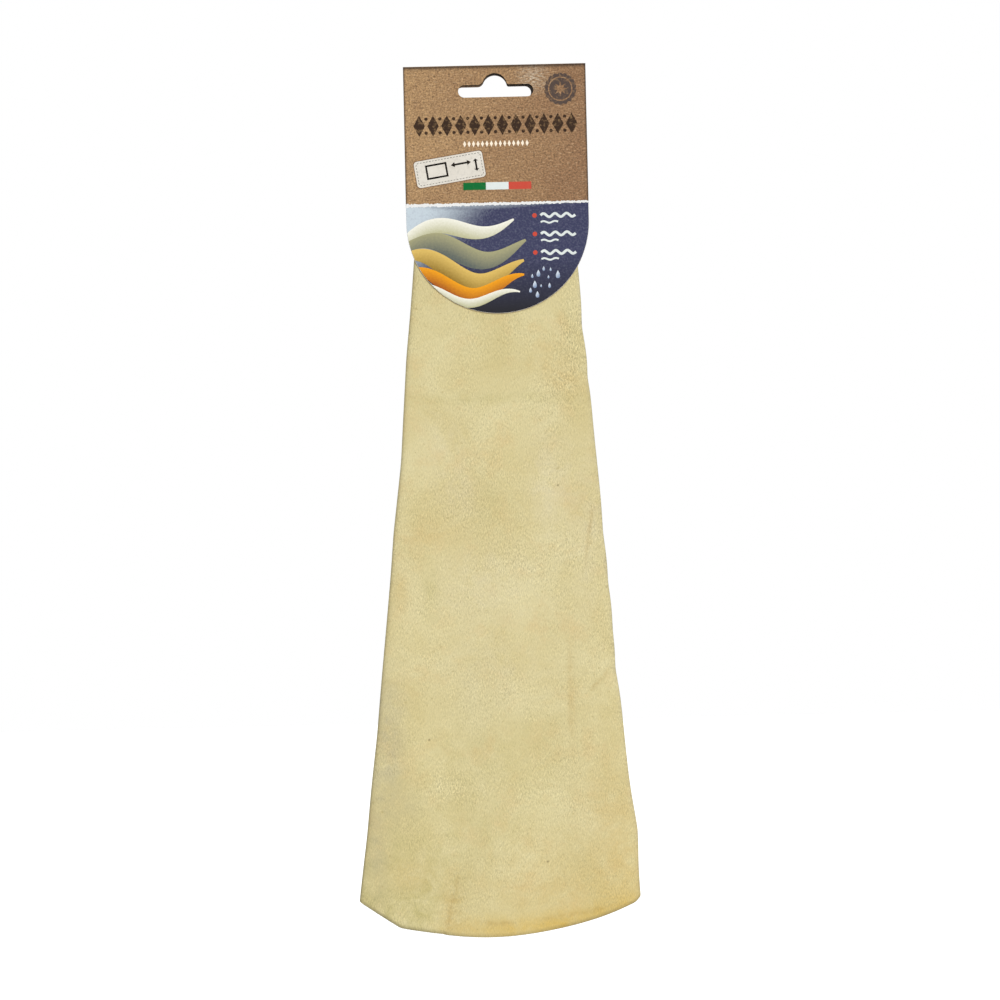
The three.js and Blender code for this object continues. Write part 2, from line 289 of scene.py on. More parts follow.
# Chamois: oil-tanned sheep split, buffed to a short nap on both sides. Dull, no shine at all, with a
# fine grain that stands up in patches, warm clouds of oil, and creases where it was folded.
chamoisLook = {
    "straw": "#CDBF8C", "pale": "#D6CB9D", "warm": "#D1B985", "oil": "#C8A96A", "chalk": "#DAD0B2",
    "olive": "#BDB27C", "grey": "#ABA48E", "gold": "#CCA94C", "fold": "#6F664B", "crease": "#A98E55",
    "fleck": "#A3925F", "pit": "#6F6040",
    # patterns on the flat sheet: size in metres, detail, roughness, distortion, then for strokes the turn
    # and the stretch; the strokes of the nap are drawn coarser than hair so that they show
    "noises": {
        "clouds": (0.034, 5.0, 0.65, 0.5), "warmth": (0.018, 5.0, 0.68, 0.0),
        "patches": (0.026, 3.0, 0.5, 0.0), "tatters": (0.0075, 5.0, 0.68, 0.4),
        "clumps": (0.0024, 2.0, 0.6, 0.0), "flecks": (0.0013, 1.0, 0.5, 0.6),
        "napLeft": (0.00052, 3.0, 0.75, 0.0, math.radians(28.0), (1.0, 0.00052 / 0.0013, 1.0)),
        "napRight": (0.00052, 3.0, 0.75, 0.0, math.radians(-52.0), (1.0, 0.00052 / 0.0013, 1.0)),
    },
    # what is taken from a pattern: the values it runs between, and the share at each of them
    "shares": {
        "pale": ("clouds", 0.36, 0.64, 0.0, 1.0), "warm": ("warmth", 0.52, 0.70, 0.0, 0.5),
        "fleck": ("flecks", 0.68, 0.78, 0.0, 0.4), "raised": ("patches", 0.36, 0.66, 0.6, 1.45),
        "torn": ("tatters", 0.34, 0.66, 0.25, 1.6), "even": ("tatters", 0.34, 0.66, 0.7, 1.3),
        "broken": ("tatters", 0.3, 0.62, 0.0, 1.0), "napWay": ("tatters", 0.44, 0.56, 0.0, 1.0),
    },
    "grainContrast": 1.12, "grainShare": 0.5, "napStrength": 0.8, "napDepth": 0.00036,
    "creaseWidth": 0.9, "creaseMeander": 1.2,  # in millimetres, as the point value of the distance is
    "creaseDrop": 0.00022,
    # pits in the flat sheet, in metres from its upper left corner
    "pits": ((0.1256, 0.1121), (0.0692, 0.2211), (0.1203, 0.2749)), "pitRadius": 0.0007, "pitShare": 0.8,
    "shader": {"Roughness": 0.95, "Specular IOR Level": 0.15, "Sheen Weight": 0.1, "Sheen Roughness": 0.6},
}


def makeChamois(look):
    material, tree, shader = newMaterial("chamois suede")
    flat = addNode(tree, "ShaderNodeUVMap", {"uv_map": "flatSheet"})
    noises, shares = addPatterns(tree, flat, look)
    marks = {name: addNode(tree, "ShaderNodeAttribute", {"attribute_name": name}).outputs["Fac"]
             for name in ("oilTint", "chalkTint", "oliveTint", "greyTint", "goldTint", "foldShade",
                          "napRaise", "creaseAway", "creaseDepth")}
    raised = addNode(tree, "ShaderNodeMath", {"operation": "ADD"},
                     {0: shares["raised"], 1: marks["napRaise"]})

    # the nap lies in short strokes that lean one way or the other from patch to patch
    grain = addNode(tree, "ShaderNodeMix", {"data_type": "FLOAT"},
                    {0: shares["napWay"], 2: noises["napLeft"], 3: noises["napRight"]})

    # a crease is a narrow groove about a line: its depth falls off as exp(-(distance / width)^2)
    meander = addNode(tree, "ShaderNodeMath",
                      {"operation": "MULTIPLY_ADD", 1: 2 * look["creaseMeander"], 2: -look["creaseMeander"]},
                      {0: noises["clumps"]})
    away = addNode(tree, "ShaderNodeMath", {"operation": "ADD"}, {0: marks["creaseAway"], 1: meander})
    ratio = addNode(tree, "ShaderNodeMath", {"operation": "MULTIPLY", 1: 1 / look["creaseWidth"]}, {0: away})
    square = addNode(tree, "ShaderNodeMath", {"operation": "MULTIPLY"}, {0: ratio, 1: ratio})
    groove = addNode(tree, "ShaderNodeMath", {"operation": "POWER", 0: math.exp(-1)}, {1: square})
    for share in (marks["creaseDepth"], shares["broken"]):
        groove = addNode(tree, "ShaderNodeMath", {"operation": "MULTIPLY"}, {0: groove, 1: share})

    tints = [(shares["warm"], look["warm"])]
    for name in ("chalk", "olive", "oil", "grey", "gold"):
        torn = addNode(tree, "ShaderNodeMath", {"operation": "MULTIPLY", "use_clamp": True},
                       {0: marks[name + "Tint"], 1: shares["even" if name == "gold" else "torn"]})
        tints.append((torn, look[name]))
    # the crease tint in each groove is painted shade beside the groove's bump; the fold tint is painted shade
    # along the folds and the hem
    tints += [(shares["fleck"], look["fleck"]), (groove, look["crease"]), (marks["foldShade"], look["fold"])]
    for place in look["pits"]:
        apart = addNode(tree, "ShaderNodeVectorMath", {"operation": "DISTANCE", 1: (*place, 0.0)}, {0: flat})
        pit = addNode(tree, "ShaderNodeMapRange",
                      {"From Max": look["pitRadius"], "To Min": look["pitShare"], "To Max": 0.0},
                      {"Value": apart})
        tints.append((pit, look["pit"]))
    color = layTints(tree, shares["pale"], look["straw"], look["pale"], tints)
    swing = addNode(tree, "ShaderNodeMath", {"operation": "SUBTRACT", 1: 0.5}, {0: grain})
    swing = addNode(tree, "ShaderNodeMath", {"operation": "MULTIPLY"}, {0: swing, 1: raised})
    gain = addNode(tree, "ShaderNodeMath", {"operation": "MULTIPLY_ADD", 1: look["grainContrast"], 2: 1.0},
                   {0: swing})
    color = addNode(tree, "ShaderNodeVectorMath", {"operation": "SCALE"}, {0: color, "Scale": gain})

    nap = addNode(tree, "ShaderNodeMath", {"operation": "MULTIPLY_ADD", 1: look["grainShare"]},
                  {0: grain, 2: noises["clumps"]})
    nap = addNode(tree, "ShaderNodeMath", {"operation": "MULTIPLY"}, {0: nap, 1: raised})
    napBump = addNode(tree, "ShaderNodeBump", {"Strength": look["napStrength"], "Distance": look["napDepth"]},
                      {"Height": nap})
    creaseBump = addNode(tree, "ShaderNodeBump",
                         {"Strength": 1.0, "Distance": look["creaseDrop"], "invert": True},
                         {"Height": groove, "Normal": napBump})
    setNode(tree, shader, dict(look["shader"], **{"Sheen Tint": linearColor(look["pale"])}),
            {"Base Color": color, "Normal": creaseBump})
    return material


# Kraft board: unbleached sulphate pulp, uncoated. Warm brown with short fibres both lighter and
# darker than the ground, scuffed grey where it rubs on a peg.
kraftLook = {
    "light": "#AB8960", "dark": "#8D6B4C", "fibreDark": "#7A5A3D", "fibrePale": "#C0A17D", "scuff": "#BFAF99",
    "paintedShade": "#2A1C12",
    # patterns on the flat board, given as for the chamois
    "noises": {
        "clouds": (0.022, 2.0, 0.5, 0.0), "mottle": (0.004, 5.0, 0.7, 0.0), "grain": (0.0008, 3.0, 0.8, 0.0),
        "paleFibres": (0.00045, 1.0, 0.5, 0.0, 0.5, (0.00045 / 0.0022, 1.0, 1.0)),
        "darkFibres": (0.00045, 1.0, 0.5, 0.0, -0.7, (0.00045 / 0.0022, 1.0, 1.0)),
    },
    "shares": {
        "mottle": ("mottle", 0.42, 0.7, 0.0, 0.45), "pale": ("paleFibres", 0.58, 0.72, 0.0, 0.55),
        "dark": ("darkFibres", 0.58, 0.72, 0.0, 0.55), "scuff": ("paleFibres", 0.38, 0.6, 0.0, 0.9),
    },
    "acrossFrom": -0.036, "acrossTo": 0.036, "cloudDrift": 0.9, "grainContrast": 3.4,
    "fibreStrength": 0.35, "fibreHeight": 0.00006, "scuffAt": (0.0166, 0.0056), "scuffReach": 0.0088,
    # painted shade along the fold out to a reach, less on its very top; full, from and to are shares of it
    "creaseReach": 0.0019, "creaseFull": 0.2, "ridgeFrom": 0.1, "ridgeTo": 0.3, "ridgeShare": 0.35,
    # painted shade along the card's two sides: where it starts and where it is full, from the middle, and its
    # share
    "edgeFrom": 0.0385, "edgeTo": 0.0394, "edgeShare": 0.85,
    "shader": {"Roughness": 0.72, "Specular IOR Level": 0.3},
}
insideLook = dict(kraftLook, light="#9C7C5C", dark="#86674A", fibreDark="#705338", fibrePale="#AE9070",
                  scuff="#9C7C5C", paintedShade="#140C07")
cutLook = dict(kraftLook, light="#B89A76", dark="#A78962", edgeFrom=1.0, edgeTo=2.0, creaseReach=0.0001)


def makeKraft(name, look):
    material, tree, shader = newMaterial(name)
    flat = addNode(tree, "ShaderNodeUVMap", {"uv_map": "flatBoard"})
    noises, shares = addPatterns(tree, flat, look)
    apart = addNode(tree, "ShaderNodeSeparateXYZ", {}, {"Vector": flat}).outputs
    side = addNode(tree, "ShaderNodeMapRange", {"From Min": look["acrossFrom"], "From Max": look["acrossTo"]},
                   {"Value": apart["X"]})
    drift = addNode(tree, "ShaderNodeMath",
                    {"operation": "MULTIPLY_ADD", 1: look["cloudDrift"], 2: -look["cloudDrift"] / 2},
                    {0: noises["clouds"]})
    darker = addNode(tree, "ShaderNodeMath", {"operation": "ADD", "use_clamp": True}, {0: side, 1: drift})

    tints = [(shares["mottle"], look["fibreDark"]), (shares["pale"], look["fibrePale"]),
             (shares["dark"], look["fibreDark"])]
    rubbed = addNode(tree, "ShaderNodeVectorMath",
                     {"operation": "DISTANCE", 1: (*look["scuffAt"], 0.0)}, {0: flat})
    near = addNode(tree, "ShaderNodeMapRange",
                   {"From Max": look["scuffReach"], "To Min": 1.0, "To Max": 0.0}, {"Value": rubbed})
    # painted shade along the fold, less of it along its very top
    fromCrease = addNode(tree, "ShaderNodeMath", {"operation": "ABSOLUTE"}, {0: apart["Y"]})
    reach = look["creaseReach"]
    crease = addNode(tree, "ShaderNodeMapRange",
                     {"From Min": look["creaseFull"] * reach, "From Max": reach,
                      "To Min": 1.0, "To Max": 0.0}, {"Value": fromCrease})
    ridge = addNode(tree, "ShaderNodeMapRange",
                    {"From Min": look["ridgeFrom"] * reach, "From Max": look["ridgeTo"] * reach,
                     "To Min": look["ridgeShare"]}, {"Value": fromCrease})
    for first, second, tint in ((near, shares["scuff"], "scuff"), (crease, ridge, "paintedShade")):
        both = addNode(tree, "ShaderNodeMath", {"operation": "MULTIPLY"}, {0: first, 1: second})
        tints.append((both, look[tint]))
    # painted shade along the card's sides, and on the back leaf where it shows through the front slot
    fromMiddle = addNode(tree, "ShaderNodeMath", {"operation": "ABSOLUTE"}, {0: apart["X"]})
    edge = addNode(tree, "ShaderNodeMapRange",
                   {"From Min": look["edgeFrom"], "From Max": look["edgeTo"], "To Max": look["edgeShare"]},
                   {"Value": fromMiddle})
    slotShade = addNode(tree, "ShaderNodeAttribute", {"attribute_name": "slotShade"}).outputs["Fac"]
    tints += [(edge, look["paintedShade"]), (slotShade, look["paintedShade"])]

    color = layTints(tree, darker, look["light"], look["dark"], tints)
    contrast = look["grainContrast"]
    gain = addNode(tree, "ShaderNodeMath", {"operation": "MULTIPLY_ADD", 1: contrast, 2: 1 - contrast / 2},
                   {0: noises["grain"]})
    color = addNode(tree, "ShaderNodeVectorMath", {"operation": "SCALE"}, {0: color, "Scale": gain})
    height = addNode(tree, "ShaderNodeMath", {"operation": "ADD"},
                     {0: noises["paleFibres"], 1: noises["darkFibres"]})
    bump = addNode(tree, "ShaderNodeBump",
                   {"Strength": look["fibreStrength"], "Distance": look["fibreHeight"]}, {"Height": height})
    setNode(tree, shader, look["shader"], {"Base Color": color, "Normal": bump})
    return material


chamois = makeChamois(chamoisLook)
kraft = makeKraft("kraft board", kraftLook)
kraftInside = makeKraft("kraft board inside", insideLook)
kraftCut = makeKraft("kraft board cut edge", cutLook)
print("materials ready")


# Skin: one sheet with both long sides folded behind the front panel, in millimetres
skin = {
    "thickness": 0.8, "layerGap": 0.3, "sheetWidth": 200.0, "flapEase": 60.0, "flapInset": 3.0,
    "frontTopWidth": 68.3, "frontHemWidth": 121.6, "frontTopShift": -1.2, "frontHemShift": -5.5,
    "leftBow": 1.6, "hemRadius": 150.0, "hemLowX": -10.0, "hemCornerRise": 16.5,
    "leftCutWidth": 18.4, "leftCutRise": 11.6,
    "leftCornerRadius": 1.4, "rightCornerRadius": 3.2, "cornerShare": 0.8,
    "notchX": -28.7, "notchRise": 0.3, "notchWidth": 0.8, "notchLength": 12.0,
    "rippleDepth": 0.7, "rippleCount": 2.5, "rippleStart": 15.0, "rippleShare": 0.6,
    # how each fold wanders off its line: height, step to the right, reach
    "leftWander": [(-122, -0.45, 17), (-167, 0.5, 15), (-198, -0.3, 12), (-285, 0.35, 18), (-328, 0.35, 16)],
    "rightWander": [(-110, -0.8, 8), (-132, -0.5, 5), (-158, -0.15, 20), (-199, -0.5, 9), (-221, -0.45, 7),
                    (-242, -0.45, 8), (-258, -0.95, 9), (-328, 1.6, 15)],
    "wanderPower": 1.6,
    # soft valleys across the panel: start, end, depth, half width
    "valleys": [((-29, -212), (-34, -234), 0.36, 5.0), ((4, -182), (-2, -199), 0.34, 5.0),
                ((26.8, -245), (26.6, -293), 0.20, 2.6), ((-22, -343), (-29, -372), 0.42, 5.0),
                ((38, -190), (34, -211), 0.30, 4.0), ((43.5, -258.5), (34.5, -268), 0.30, 3.5),
                ((-38, -141), (33, -143.5), 0.16, 3.0)],
    # swells and puckers, which start below the bend
    "swellSize": 38.0, "swellDepth": 0.42, "swellSeed": 3, "puckerSize": 13.0, "puckerDepth": 0.13,
    "puckerSeed": 5, "freeStart": 4.0, "freeLength": 30.0,
    "dimpleDepth": 0.36, "dimpleReach": 1.0,  # where a staple's crown presses in
    "pressLift": 0.3, "pressReach": 3.5, "pressStart": 12.0,  # where it presses against the tongue's edge
    # pressed lines: points, depth of each from 0 to 1
    "creases": [([(38.6, -187), (37.4, -193), (36.0, -203), (33.6, -218)], 0.34),
                ([(44.3, -257.5), (40.4, -262.5), (34.5, -268.1)], 0.44),
                ([(-28.8, -373), (-27.4, -362), (-24.4, -351), (-22.5, -343)], 0.4),
                ([(26.9, -243), (26.4, -268), (26.8, -294)], 0.16),
                ([(-17, -366.2), (-6, -367.3), (4.6, -366.9)], 0.35),
                ([(8, -366.6), (29.4, -363.5), (48.9, -359.7)], 0.3)],
    "creaseReach": 3.2, "creaseFar": 9.0,  # how near a line shows, and the distance given where none is near
    "creaseEnds": (0.2, 0.25),  # shares of a line that fade in and out
    # patches of tint or of raised nap: kind, middle, reach across and down, strength
    "patches": [
        ("olive", -4, -120, 34, 17, 0.06), ("olive", -4, -140, 38, 2.4, 0.36), ("oil", 29, -134, 9, 7, 0.3),
        ("oil", 21, -124, 8, 8, 0.2), ("chalk", 20, -176, 8, 22, 0.32), ("chalk", -10, -222, 27, 18, 0.2),
        ("chalk", -6, -262, 27, 20, 0.18), ("chalk", -26, -160, 11, 13, 0.16),
        ("olive", -4, -186, 8, 11, 0.28), ("chalk", -19, -181, 9, 10, 0.22),
        ("olive", -33, -222, 4.5, 14, 0.35), ("oil", -31, -199, 12, 6, 0.2),
        ("oil", -45.5, -222, 4, 10, 0.2), ("oil", 27.4, -270, 1.8, 24, 0.18), ("oil", 44, -321, 13, 20, 0.24),
        ("oil", 48, -344, 12, 14, 0.14), ("oil", -44, -346, 9, 6, 0.3), ("olive", -36, -352, 9, 13, 0.3),
        ("olive", 14, -292, 12, 16, 0.22), ("grey", -53, -286, 7, 26, 0.38),
        ("grey", -58, -335, 4.5, 24, 0.24), ("grey", -47, -316, 8, 9, 0.14),
        ("chalk", 36, -196, 7, 34, 0.22), ("oil", 8, -338, 14, 12, 0.14),
        ("oil", 11, -354, 20, 8, 0.24), ("oil", -26, -363, 5, 13, 0.36), ("olive", -25, -356, 3.0, 14, 0.3),
        ("nap", 31, -116, 5, 17, 1.5), ("nap", 24, -136, 9, 14, 0.6), ("nap", -24, -309, 11, 7, 0.8),
        ("nap", 21, -305, 10, 9, 0.8), ("nap", 0, -267, 3, 4, 1.0), ("nap", 9, -276, 2.5, 6, 1.0),
        ("nap", 4, -205, 30, 22, 0.35), ("olive", -14, -298, 34, 46, 0.2), ("olive", -3, -332, 17, 16, 0.16),
    ],
    # golden band along the hem: its upper limit, its strength, where it starts on the left and thins on
    # the right, and a warmer hem to the right
    "bandTop": [(-20, -366.2), (4.6, -366.9), (29.4, -363.5), (50, -358.8)],
    "bandTint": 0.5, "bandSoft": 9.0, "bandLead": 0.65, "bandLeft": (-44, 46), "bandRight": (22, 18),
    "bandThin": 0.3, "hemTint": 0.25, "hemReach": 26.0, "hemRight": (-5, 55),
    "lowTint": 0.7, "lowLeft": (8, 50), "lowDown": (280, 90),  # olive towards the lower left corner
    # shade along a fold or the hem: strength, what low down and the corner add to it, reach
    "leftFold": (0.62, 0.1, 0.2, 0.55), "leftFoldSoft": (0.16, 0.08, 0.0, 1.9),
    "rightFold": (0.18, 0.0, 0.36, 0.6), "rightFoldGrey": (0.3, 0.0, 0.0, 1.0),
    "hemShade": (0.64, 0.0, 0.0, 0.4),
    "shadeLow": (230, 110), "shadeCorner": (325, 25),
    # the sheet's points: steps across each part, rows down it, closer rows at the cut ends and the crowns
    "flapSteps": 18, "turnSteps": 8, "frontSteps": 108, "rows": 196, "edgeRow": 0.35, "edgeThickness": 0.38,
    "crownRows": (-1.1, -0.6, -0.25, 0.0, 0.25, 0.6, 1.1),
}
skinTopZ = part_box("skin_stapled_end")[1].z / mm
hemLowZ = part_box("skin_hanging")[0].z / mm
bendZ = joints["skin_swing"]["pos_m"][2] / mm
sheetLength = skinTopZ - hemLowZ
crowns = [[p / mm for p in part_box(node)] for node in ("staple_left", "staple_right")]
crownZ = (crowns[0][0].z + crowns[0][1].z) / 2
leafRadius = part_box("front_leaf")[1].x / mm  # of the leaf's half-round end
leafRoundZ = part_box("front_leaf")[0].z / mm + leafRadius
layerPitch = skin["thickness"] + skin["layerGap"]


def foldShare(z):
    return (skinTopZ - z) / (sheetLength - skin["hemCornerRise"])


def foldEnds(side):
    # a fold's x at the top and at the hem; side is -1 on the left and 1 on the right
    return [skin[end + "Shift"] + side * skin[end + "Width"] / 2 for end in ("frontTop", "frontHem")]


def wander(z, steps):
    return sum(step * np.exp(-np.abs((z - height) / reach) ** skin["wanderPower"])
               for height, step, reach in steps)


def leftFoldX(z):
    t = foldShare(z)
    bow = skin["leftBow"] * np.sin(np.pi * np.clip(t, 0, 1))
    return lerp(*foldEnds(-1), t) + bow + wander(z, skin["leftWander"])


def rightFoldX(z):
    return lerp(*foldEnds(1), foldShare(z)) + wander(z, skin["rightWander"])


def flapWidth(z):
    return (skin["sheetWidth"] - (rightFoldX(z) - leftFoldX(z))) / 2


def hemZ(x):
    def arc(at):
        return hemLowZ + skin["hemRadius"] - np.sqrt(skin["hemRadius"] ** 2 - (at - skin["hemLowX"]) ** 2)
    leftX, rightX = foldEnds(-1)[1], foldEnds(1)[1]
    cutX = leftX + skin["leftCutWidth"]
    cut = arc(cutX) + skin["leftCutRise"] * (cutX - x) / skin["leftCutWidth"]
    notch = skin["notchRise"] * smooth((skin["notchX"] - x) / skin["notchWidth"] + 0.5)
    z = np.where(x >= cutX, arc(x) + notch * ramp(x, cutX, skin["notchLength"]), cut)
    for inside, radius in ((x - leftX, skin["leftCornerRadius"]), (rightX - x, skin["rightCornerRadius"])):
        short = np.clip(radius - inside, 0, radius)
        z = z + skin["cornerShare"] * (radius - np.sqrt(radius ** 2 - short ** 2))
    return z


def leftFlapDepth(z):
    # the left flap lies behind the right one where the two overlap
    overlap = 2 * flapWidth(z) - (rightFoldX(z) - leftFoldX(z))
    return layerPitch * ramp(overlap, -skin["flapEase"], skin["flapEase"])


def ripple(x, z):
    below = smooth((bendZ - skin["rippleStart"] - z) / (sheetLength * skin["rippleShare"]))
    across = (x - leftFoldX(z)) / (rightFoldX(z) - leftFoldX(z))
    return -skin["rippleDepth"] * below * np.sin(2 * np.pi * skin["rippleCount"] * across)


def lineAway(x, z, start, end):
    # signed distance from a line piece, and the place along it from 0 to 1
    dx, dz = end[0] - start[0], end[1] - start[1]
    length = math.hypot(dx, dz)
    along = ((x - start[0]) * dx + (z - start[1]) * dz) / length ** 2
    near = np.clip(along, 0, 1)
    side = np.sign((x - start[0]) * dz - (z - start[1]) * dx)
    away = np.hypot(x - start[0] - near * dx, z - start[1] - near * dz)
    return np.where(side == 0, 1, side) * away, along


def relief(x, z):
    # swells, puckers, valleys, the staples' dents and the lift round the tongue, shared by all the layers;
    # positive is towards the back
    flat = np.stack([x, 0 * x, z], -1)
    y = skin["swellDepth"] * softNoise(flat, skin["swellSize"], skin["swellSeed"])
    y = y + skin["puckerDepth"] * softNoise(flat, skin["puckerSize"], skin["puckerSeed"])
    for start, end, depth, half in skin["valleys"]:
        y = y + depth * bell(lineAway(x, z, start, end)[0], half)
    y = y * smooth((bendZ - skin["freeStart"] - z) / skin["freeLength"])
    for low, high in crowns:
        beside = np.clip(np.maximum(low.x - x, x - high.x), 0, None)
        y = y + skin["dimpleDepth"] * bell(np.hypot(beside, z - crownZ), skin["dimpleReach"])
    below = leafRoundZ - z
    rim = np.hypot(x, below) - leafRadius
    return y - skin["pressLift"] * bell(rim, skin["pressReach"]) * smooth(below / skin["pressStart"])


def sheetColumns():
    steps = [("leftFlap", skin["flapSteps"]), ("leftTurn", skin["turnSteps"]), ("front", skin["frontSteps"]),
             ("rightTurn", skin["turnSteps"]), ("rightFlap", skin["flapSteps"])]
    columns = [(part, i / count) for part, count in steps for i in range(count)]
    return columns + [("rightFlap", 1.0)]


def sheetPoint(part, t, z):
    # place, outward direction and flat distance from the panel's middle, for one column at heights z
    frontY = -layerPitch
    leftY = leftFlapDepth(z)
    leftRadius = (leftY - frontY) / 2
    rightRadius = layerPitch / 2
    left = leftFoldX(z) + skin["thickness"] / 2
    right = rightFoldX(z) - skin["thickness"] / 2
    half = (right - left) / 2
    flap = flapWidth(z)
    one = np.ones_like(z)
    if part == "leftFlap":
        x = lerp(left + flap, left + leftRadius, t)
        return x, leftY, 0 * one, one, -half - (x - left)
    if part == "leftTurn":
        angle = math.pi / 2 + math.pi * t
        nx, ny = math.cos(angle), math.sin(angle)
        x = left + leftRadius + leftRadius * nx
        y = (frontY + leftY) / 2 + leftRadius * ny
        return x, y, nx * one, ny * one, -half + leftRadius * (2 * t - 1)
    if part == "front":
        x = lerp(left + leftRadius, right - rightRadius, t)
        return x, frontY * one, 0 * one, -one, x - (left + right) / 2
    if part == "rightTurn":
        angle = -math.pi / 2 + math.pi * t
        nx, ny = math.cos(angle), math.sin(angle)
        x = right - rightRadius + rightRadius * nx
        y = (frontY / 2 + rightRadius * ny) * one
        return x, y, nx * one, ny * one, half + rightRadius * (2 * t - 1)
    x = lerp(right - rightRadius, right - flap, t)
    return x, 0 * one, 0 * one, one, half + (right - x)


def topEdgeZ(part, t):
    # the cut top of a flap slopes twice as steeply as its fold leans
    def lean(foldX):
        return abs(foldX(skinTopZ) - foldX(skinTopZ - 1))
    inward = flapWidth(skinTopZ)
    if part == "leftFlap":
        return skinTopZ - 2 * lean(leftFoldX) * inward * (1 - t)
    if part == "rightFlap":
        return skinTopZ - 2 * lean(rightFoldX) * inward * t
    return skinTopZ


def lowerEdgeZ(part, t):
    x = sheetPoint(part, t, np.array([hemLowZ + skin["hemCornerRise"]]))[0][0]
    return float(hemZ(x)) + (skin["flapInset"] if part.endswith("Flap") else 0.0)


def creaseMarks(x, z):
    # signed distance to the nearest pressed line and how deep that line is there
    nearest = np.full_like(x, skin["creaseFar"])
    deep = np.zeros_like(x)
    fadeIn, fadeOut = skin["creaseEnds"]
    for points, depth in skin["creases"]:
        for k, (start, end) in enumerate(zip(points, points[1:])):
            away, along = lineAway(x, z, start, end)
            closer = np.abs(away) < np.abs(nearest)
            total = (k + np.clip(along, 0, 1)) / (len(points) - 1)
            fade = smooth(total / fadeIn) * smooth((1 - total) / fadeOut)
            nearest = np.where(closer, away, nearest)
            deep = np.where(closer, depth * fade, deep)
    return nearest, np.where(np.abs(nearest) < skin["creaseReach"], deep, 0)


def sheetFaces(rows, across):
    # both faces of a grid of points and the rim between them, the inner points after the outer ones
    layer = (rows + 1) * across
    faces = []
    for i in range(rows):
        for j in range(across - 1):
            a, b = i * across + j, (i + 1) * across + j
            faces.append((a, b, b + 1, a + 1))
            faces.append((a + 1 + layer, b + 1 + layer, b + layer, a + layer))
    last = rows * across
    for j in range(across - 1):
        faces.append((j, j + 1, j + 1 + layer, j + layer))
        faces.append((last + j + 1, last + j, last + j + layer, last + j + 1 + layer))
    for i in range(rows):
        a, b = i * across, (i + 1) * across
        faces.append((b, a, a + layer, b + layer))
        c, d = a + across - 1, b + across - 1
        faces.append((c, d, d + layer, c + layer))
    return faces


def shadeSkin(piece, x, z, isFront):
    # what the suede reads at each point: tints, raised nap, shade along the folds, creases
    values = {name: np.zeros_like(x)
              for name in ("oilTint", "chalkTint", "oliveTint", "greyTint", "napRaise")}
    for kind, px, pz, reachX, reachZ, strength in skin["patches"]:
        name = "napRaise" if kind == "nap" else kind + "Tint"
        values[name] += strength * bell(x - px, reachX) * bell(z - pz, reachZ) * isFront
    values["oliveTint"] += skin["lowTint"] * ramp(-x, *skin["lowLeft"]) * ramp(-z, *skin["lowDown"]) * isFront

    aboveHem = z - hemZ(x)
    limit = np.interp(x, *zip(*skin["bandTop"])) - z
    band = skin["bandTint"] * smooth(limit / skin["bandSoft"] + skin["bandLead"]) * ramp(x, *skin["bandLeft"])
    band = band * (1 - skin["bandThin"] * ramp(x, *skin["bandRight"]))
    hem = skin["hemTint"] * bell(aboveHem, skin["hemReach"]) * ramp(x, *skin["hemRight"])

    low, corner = ramp(-z, *skin["shadeLow"]), ramp(-z, *skin["shadeCorner"])

    def shadeLine(name, away):
        strength, lowMore, cornerMore, reach = skin[name]
        return (strength + lowMore * low + cornerMore * corner) * bell(np.clip(away, 0, None), reach)
    insideLeft, insideRight = x - leftFoldX(z), rightFoldX(z) - x
    fold = shadeLine("leftFold", insideLeft) + shadeLine("leftFoldSoft", insideLeft)
    fold = np.maximum(fold, shadeLine("rightFold", insideRight))
    fold = np.maximum(fold, shadeLine("hemShade", aboveHem))
    # painted shade along the right fold, laid in the grey tint
    values["greyTint"] += shadeLine("rightFoldGrey", insideRight) * isFront
    away, deep = creaseMarks(x, z)
    values.update(goldTint=(band + hem) * isFront, foldShade=fold * isFront, creaseAway=away,
                  creaseDepth=deep * isFront)
    for name, value in values.items():
        addPointValue(piece, name, np.concatenate([value, value]))


def buildSkin():
    columns = sheetColumns()
    across = len(columns)
    edge = skin["edgeRow"] / sheetLength
    pressed = (skinTopZ - crownZ + np.array(skin["crownRows"])) / sheetLength
    share = np.unique(np.concatenate([[0], np.linspace(edge, 1 - edge, skin["rows"] - 1), pressed, [1]]))
    rows = len(share) - 1
    place = np.zeros((rows + 1, across, 3))
    outward = np.zeros((rows + 1, across, 3))
    flat = np.zeros((rows + 1, across, 2))
    isFront = np.zeros((rows + 1, across))
    for j, (part, t) in enumerate(columns):
        z = lerp(topEdgeZ(part, t), lowerEdgeZ(part, t), share)
        x, y, nx, ny, u = sheetPoint(part, t, z)
        place[:, j] = np.stack([x, y + ripple(x, z) + relief(x, z), z], 1)
        outward[:, j] = np.stack([nx, ny, 0 * z], 1)
        flat[:, j] = np.stack([u + skin["sheetWidth"] / 2, skinTopZ - z], 1)
        isFront[:, j] = part == "front" or part.endswith("Turn")
    hem = place[-1].copy()
    half = np.full((rows + 1, across, 1), skin["thickness"] / 2)
    for thin in (half[0], half[-1], half[:, 0], half[:, -1]):
        thin[:] = skin["edgeThickness"] / 2
    place, outward, flat, half = (a.reshape(-1, a.shape[-1]) for a in (place, outward, flat, half))
    points = np.concatenate([place + outward * half, place - outward * half])
    piece = meshObject("chamois_skin", points, sheetFaces(rows, across), [chamois])
    addFlatMap(piece, "flatSheet", np.concatenate([flat, flat]))
    shadeSkin(piece, place[:, 0], place[:, 2], isFront.ravel())
    return piece, hem


skinPiece, hemLine = buildSkin()
print("skin:", len(skinPiece.data.polygons), "faces")


